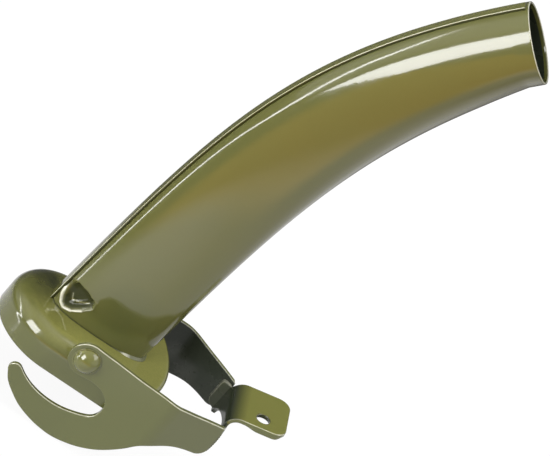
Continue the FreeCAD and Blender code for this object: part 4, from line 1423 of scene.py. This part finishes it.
# ------------------------------------------------------------------ floor, metres
FLOOR_Z = Vector(CAD_BOX[0]).z - 0.0002
FLOOR_HALF = 3.0
FLOOR_CELLS = 24
# Brightness the floor shows in reflections: (x, y, inner radius, outer radius, (inside, outside))
FLOOR_POOLS = [(0.10, -0.02, 0.23, 0.32, (0.66, 0.10)), (-0.02, -0.19, 0.05, 0.11, (0.32, 0.0)),
               (0.42, 0.10, 0.12, 0.28, (0.30, 0.0)), (0.38, -0.32, 0.07, 0.15, (0.50, 0.0))]


def floor_material():
    """Near-white to the camera; pools of light to every other ray."""
    material = bpy.data.materials.new("floor_white")
    g = Graph(material)
    output = g.node("OutputMaterial")
    diffuse = g.node("BsdfDiffuse")
    diffuse.inputs["Color"].default_value = (0.9, 0.9, 0.9, 1)
    white = g.node("Emission")
    white.inputs["Strength"].default_value = 1.02
    reflected = g.node("Emission")
    geometry = g.node("NewGeometry").outputs

    def distance_to(x, y):
        return g.vector("DISTANCE", geometry["Position"], (x, y, FLOOR_Z), "Value")

    flip = g.node("VectorMath", operation="SCALE")
    g.feed(flip.inputs[0], geometry["Incoming"])
    flip.inputs[3].default_value = -1.0
    azimuth, elevation = g.azimuth_elevation(flip.outputs[0])
    pools = [g.ramp(distance_to(x, y), span=(inner_r, outer_r), to=levels)
             for x, y, inner_r, outer_r, levels in FLOOR_POOLS]
    glow = g.plus(*pools, strip_light(g, azimuth, elevation))
    # warm light outside a circle, for rays heading to -Y
    to_front = g.angle_between(azimuth, math.radians(-90.0))
    warm = g.times(g.ramp(distance_to(0.03, 0.05), span=(0.27, 0.33)),
                   g.ramp_deg(to_front, span=(45.0, 30.0)))
    warm_colour = g.mix(warm, (0.0, 0.0, 0.0), (0.80, 0.44, 0.06))
    g.feed(reflected.inputs["Color"], g.vector("ADD", glow, warm_colour))

    def blend(amount, first, second):
        made = g.node("MixShader")
        for socket, value in zip(made.inputs, (amount, first.outputs[0], second.outputs[0])):
            g.feed(socket, value)
        return made

    seen = blend(0.90, diffuse, white)
    final = blend(g.source("LightPath", "Is Camera Ray"), reflected, seen)
    g.feed(output.inputs["Surface"], final.outputs[0])
    return material


def build_floor():
    cells = range(FLOOR_CELLS + 1)
    verts = [(-FLOOR_HALF + 2 * FLOOR_HALF * i / FLOOR_CELLS,
              -FLOOR_HALF + 2 * FLOOR_HALF * j / FLOOR_CELLS, FLOOR_Z)
             for i in cells for j in cells]
    row = FLOOR_CELLS + 1
    faces = []
    for i in range(FLOOR_CELLS):
        for j in range(FLOOR_CELLS):
            a = i * row + j
            faces.append((a, a + row, a + row + 1, a + 1))
    mesh = bpy.data.meshes.new("floor")
    mesh.from_pydata(verts, [], faces)
    mesh.update()
    floor = bpy.data.objects.new("floor", mesh)
    scene.collection.objects.link(floor)
    mesh.materials.append(floor_material())
    floor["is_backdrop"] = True


build_floor()


# ------------------------------------------------------------------ studio world
def build_world():
    """Soft surround with boxes of light; plain white to the camera. Angles in degrees."""
    world = bpy.data.worlds.new("studio")
    scene.world = world
    g = Graph(world)
    output = g.node("OutputWorld")
    background = g.node("Background")
    g.feed(output.inputs["Surface"], background.outputs[0])
    azimuth, elevation = g.azimuth_elevation(g.source("TexCoord", "Generated"))
    rays = g.node("LightPath").outputs

    def soft(middle, half, low, high, power, fade):
        """Soft-edged box: azimuth middle and half width, elevation from low to high."""
        away = g.angle_between(azimuth, math.radians(middle))
        return g.times(g.ramp_deg(away, span=(half + fade, half - fade)),
                       g.ramp_deg(elevation, span=(low - fade, low + fade)),
                       g.ramp_deg(elevation, span=(high + fade, high - fade)), power)

    def dim_in_gloss(light, share):
        glossy = g.ramp(rays["Is Glossy Ray"], span=(0.0, 1.0), to=(1.0, share))
        return g.times(light, glossy)

    surround = g.ramp_deg(elevation, span=(-20, 80), to=(0.12, 0.50))
    # the +Y side of the studio is dark
    from_back = g.angle_between(azimuth, math.radians(85.0))
    back = g.times(g.ramp_deg(from_back, span=(75.0, 50.0)),
                   g.ramp_deg(elevation, span=(72.0, 58.0)))
    surround = g.times(surround, g.ramp(back, span=(0.0, 1.0), to=(1.0, 0.15)))
    overhead = g.ramp_deg(elevation, span=(45, 85), to=(0.0, 1.7))
    low_back = soft(middle=95, half=60, low=-30, high=14, power=2.0, fade=8.0)
    total = g.plus(
        surround,
        # softbox between -X and -Y
        soft(middle=-136, half=14, low=-10, high=34, power=8.5, fade=0.7),
        # large panel at -X
        soft(middle=176, half=26, low=-20, high=50, power=0.45, fade=8.0),
        # high softbox at +X
        soft(middle=-5, half=30, low=38, high=76, power=2.6, fade=2.0),
        dim_in_gloss(overhead, share=0.12),
        # wide fill from +X
        soft(middle=0, half=62, low=-12, high=34, power=0.45, fade=12.0),
        strip_light(g, azimuth, elevation),
        dim_in_gloss(low_back, share=0.05))
    camera_ray = rays["Is Camera Ray"]
    total = g.plus(g.times(total, g.calc("SUBTRACT", 1.0, camera_ray)), camera_ray)
    g.feed(background.inputs["Strength"], total)
    background.inputs["Color"].default_value = (1.0, 1.0, 1.0, 1.0)


build_world()

scene.view_settings.view_transform = "Standard"
scene.view_settings.look = "None"
scene.view_settings.exposure = 0.0
scene.view_settings.gamma = 1.0

new_box = plain(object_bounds())
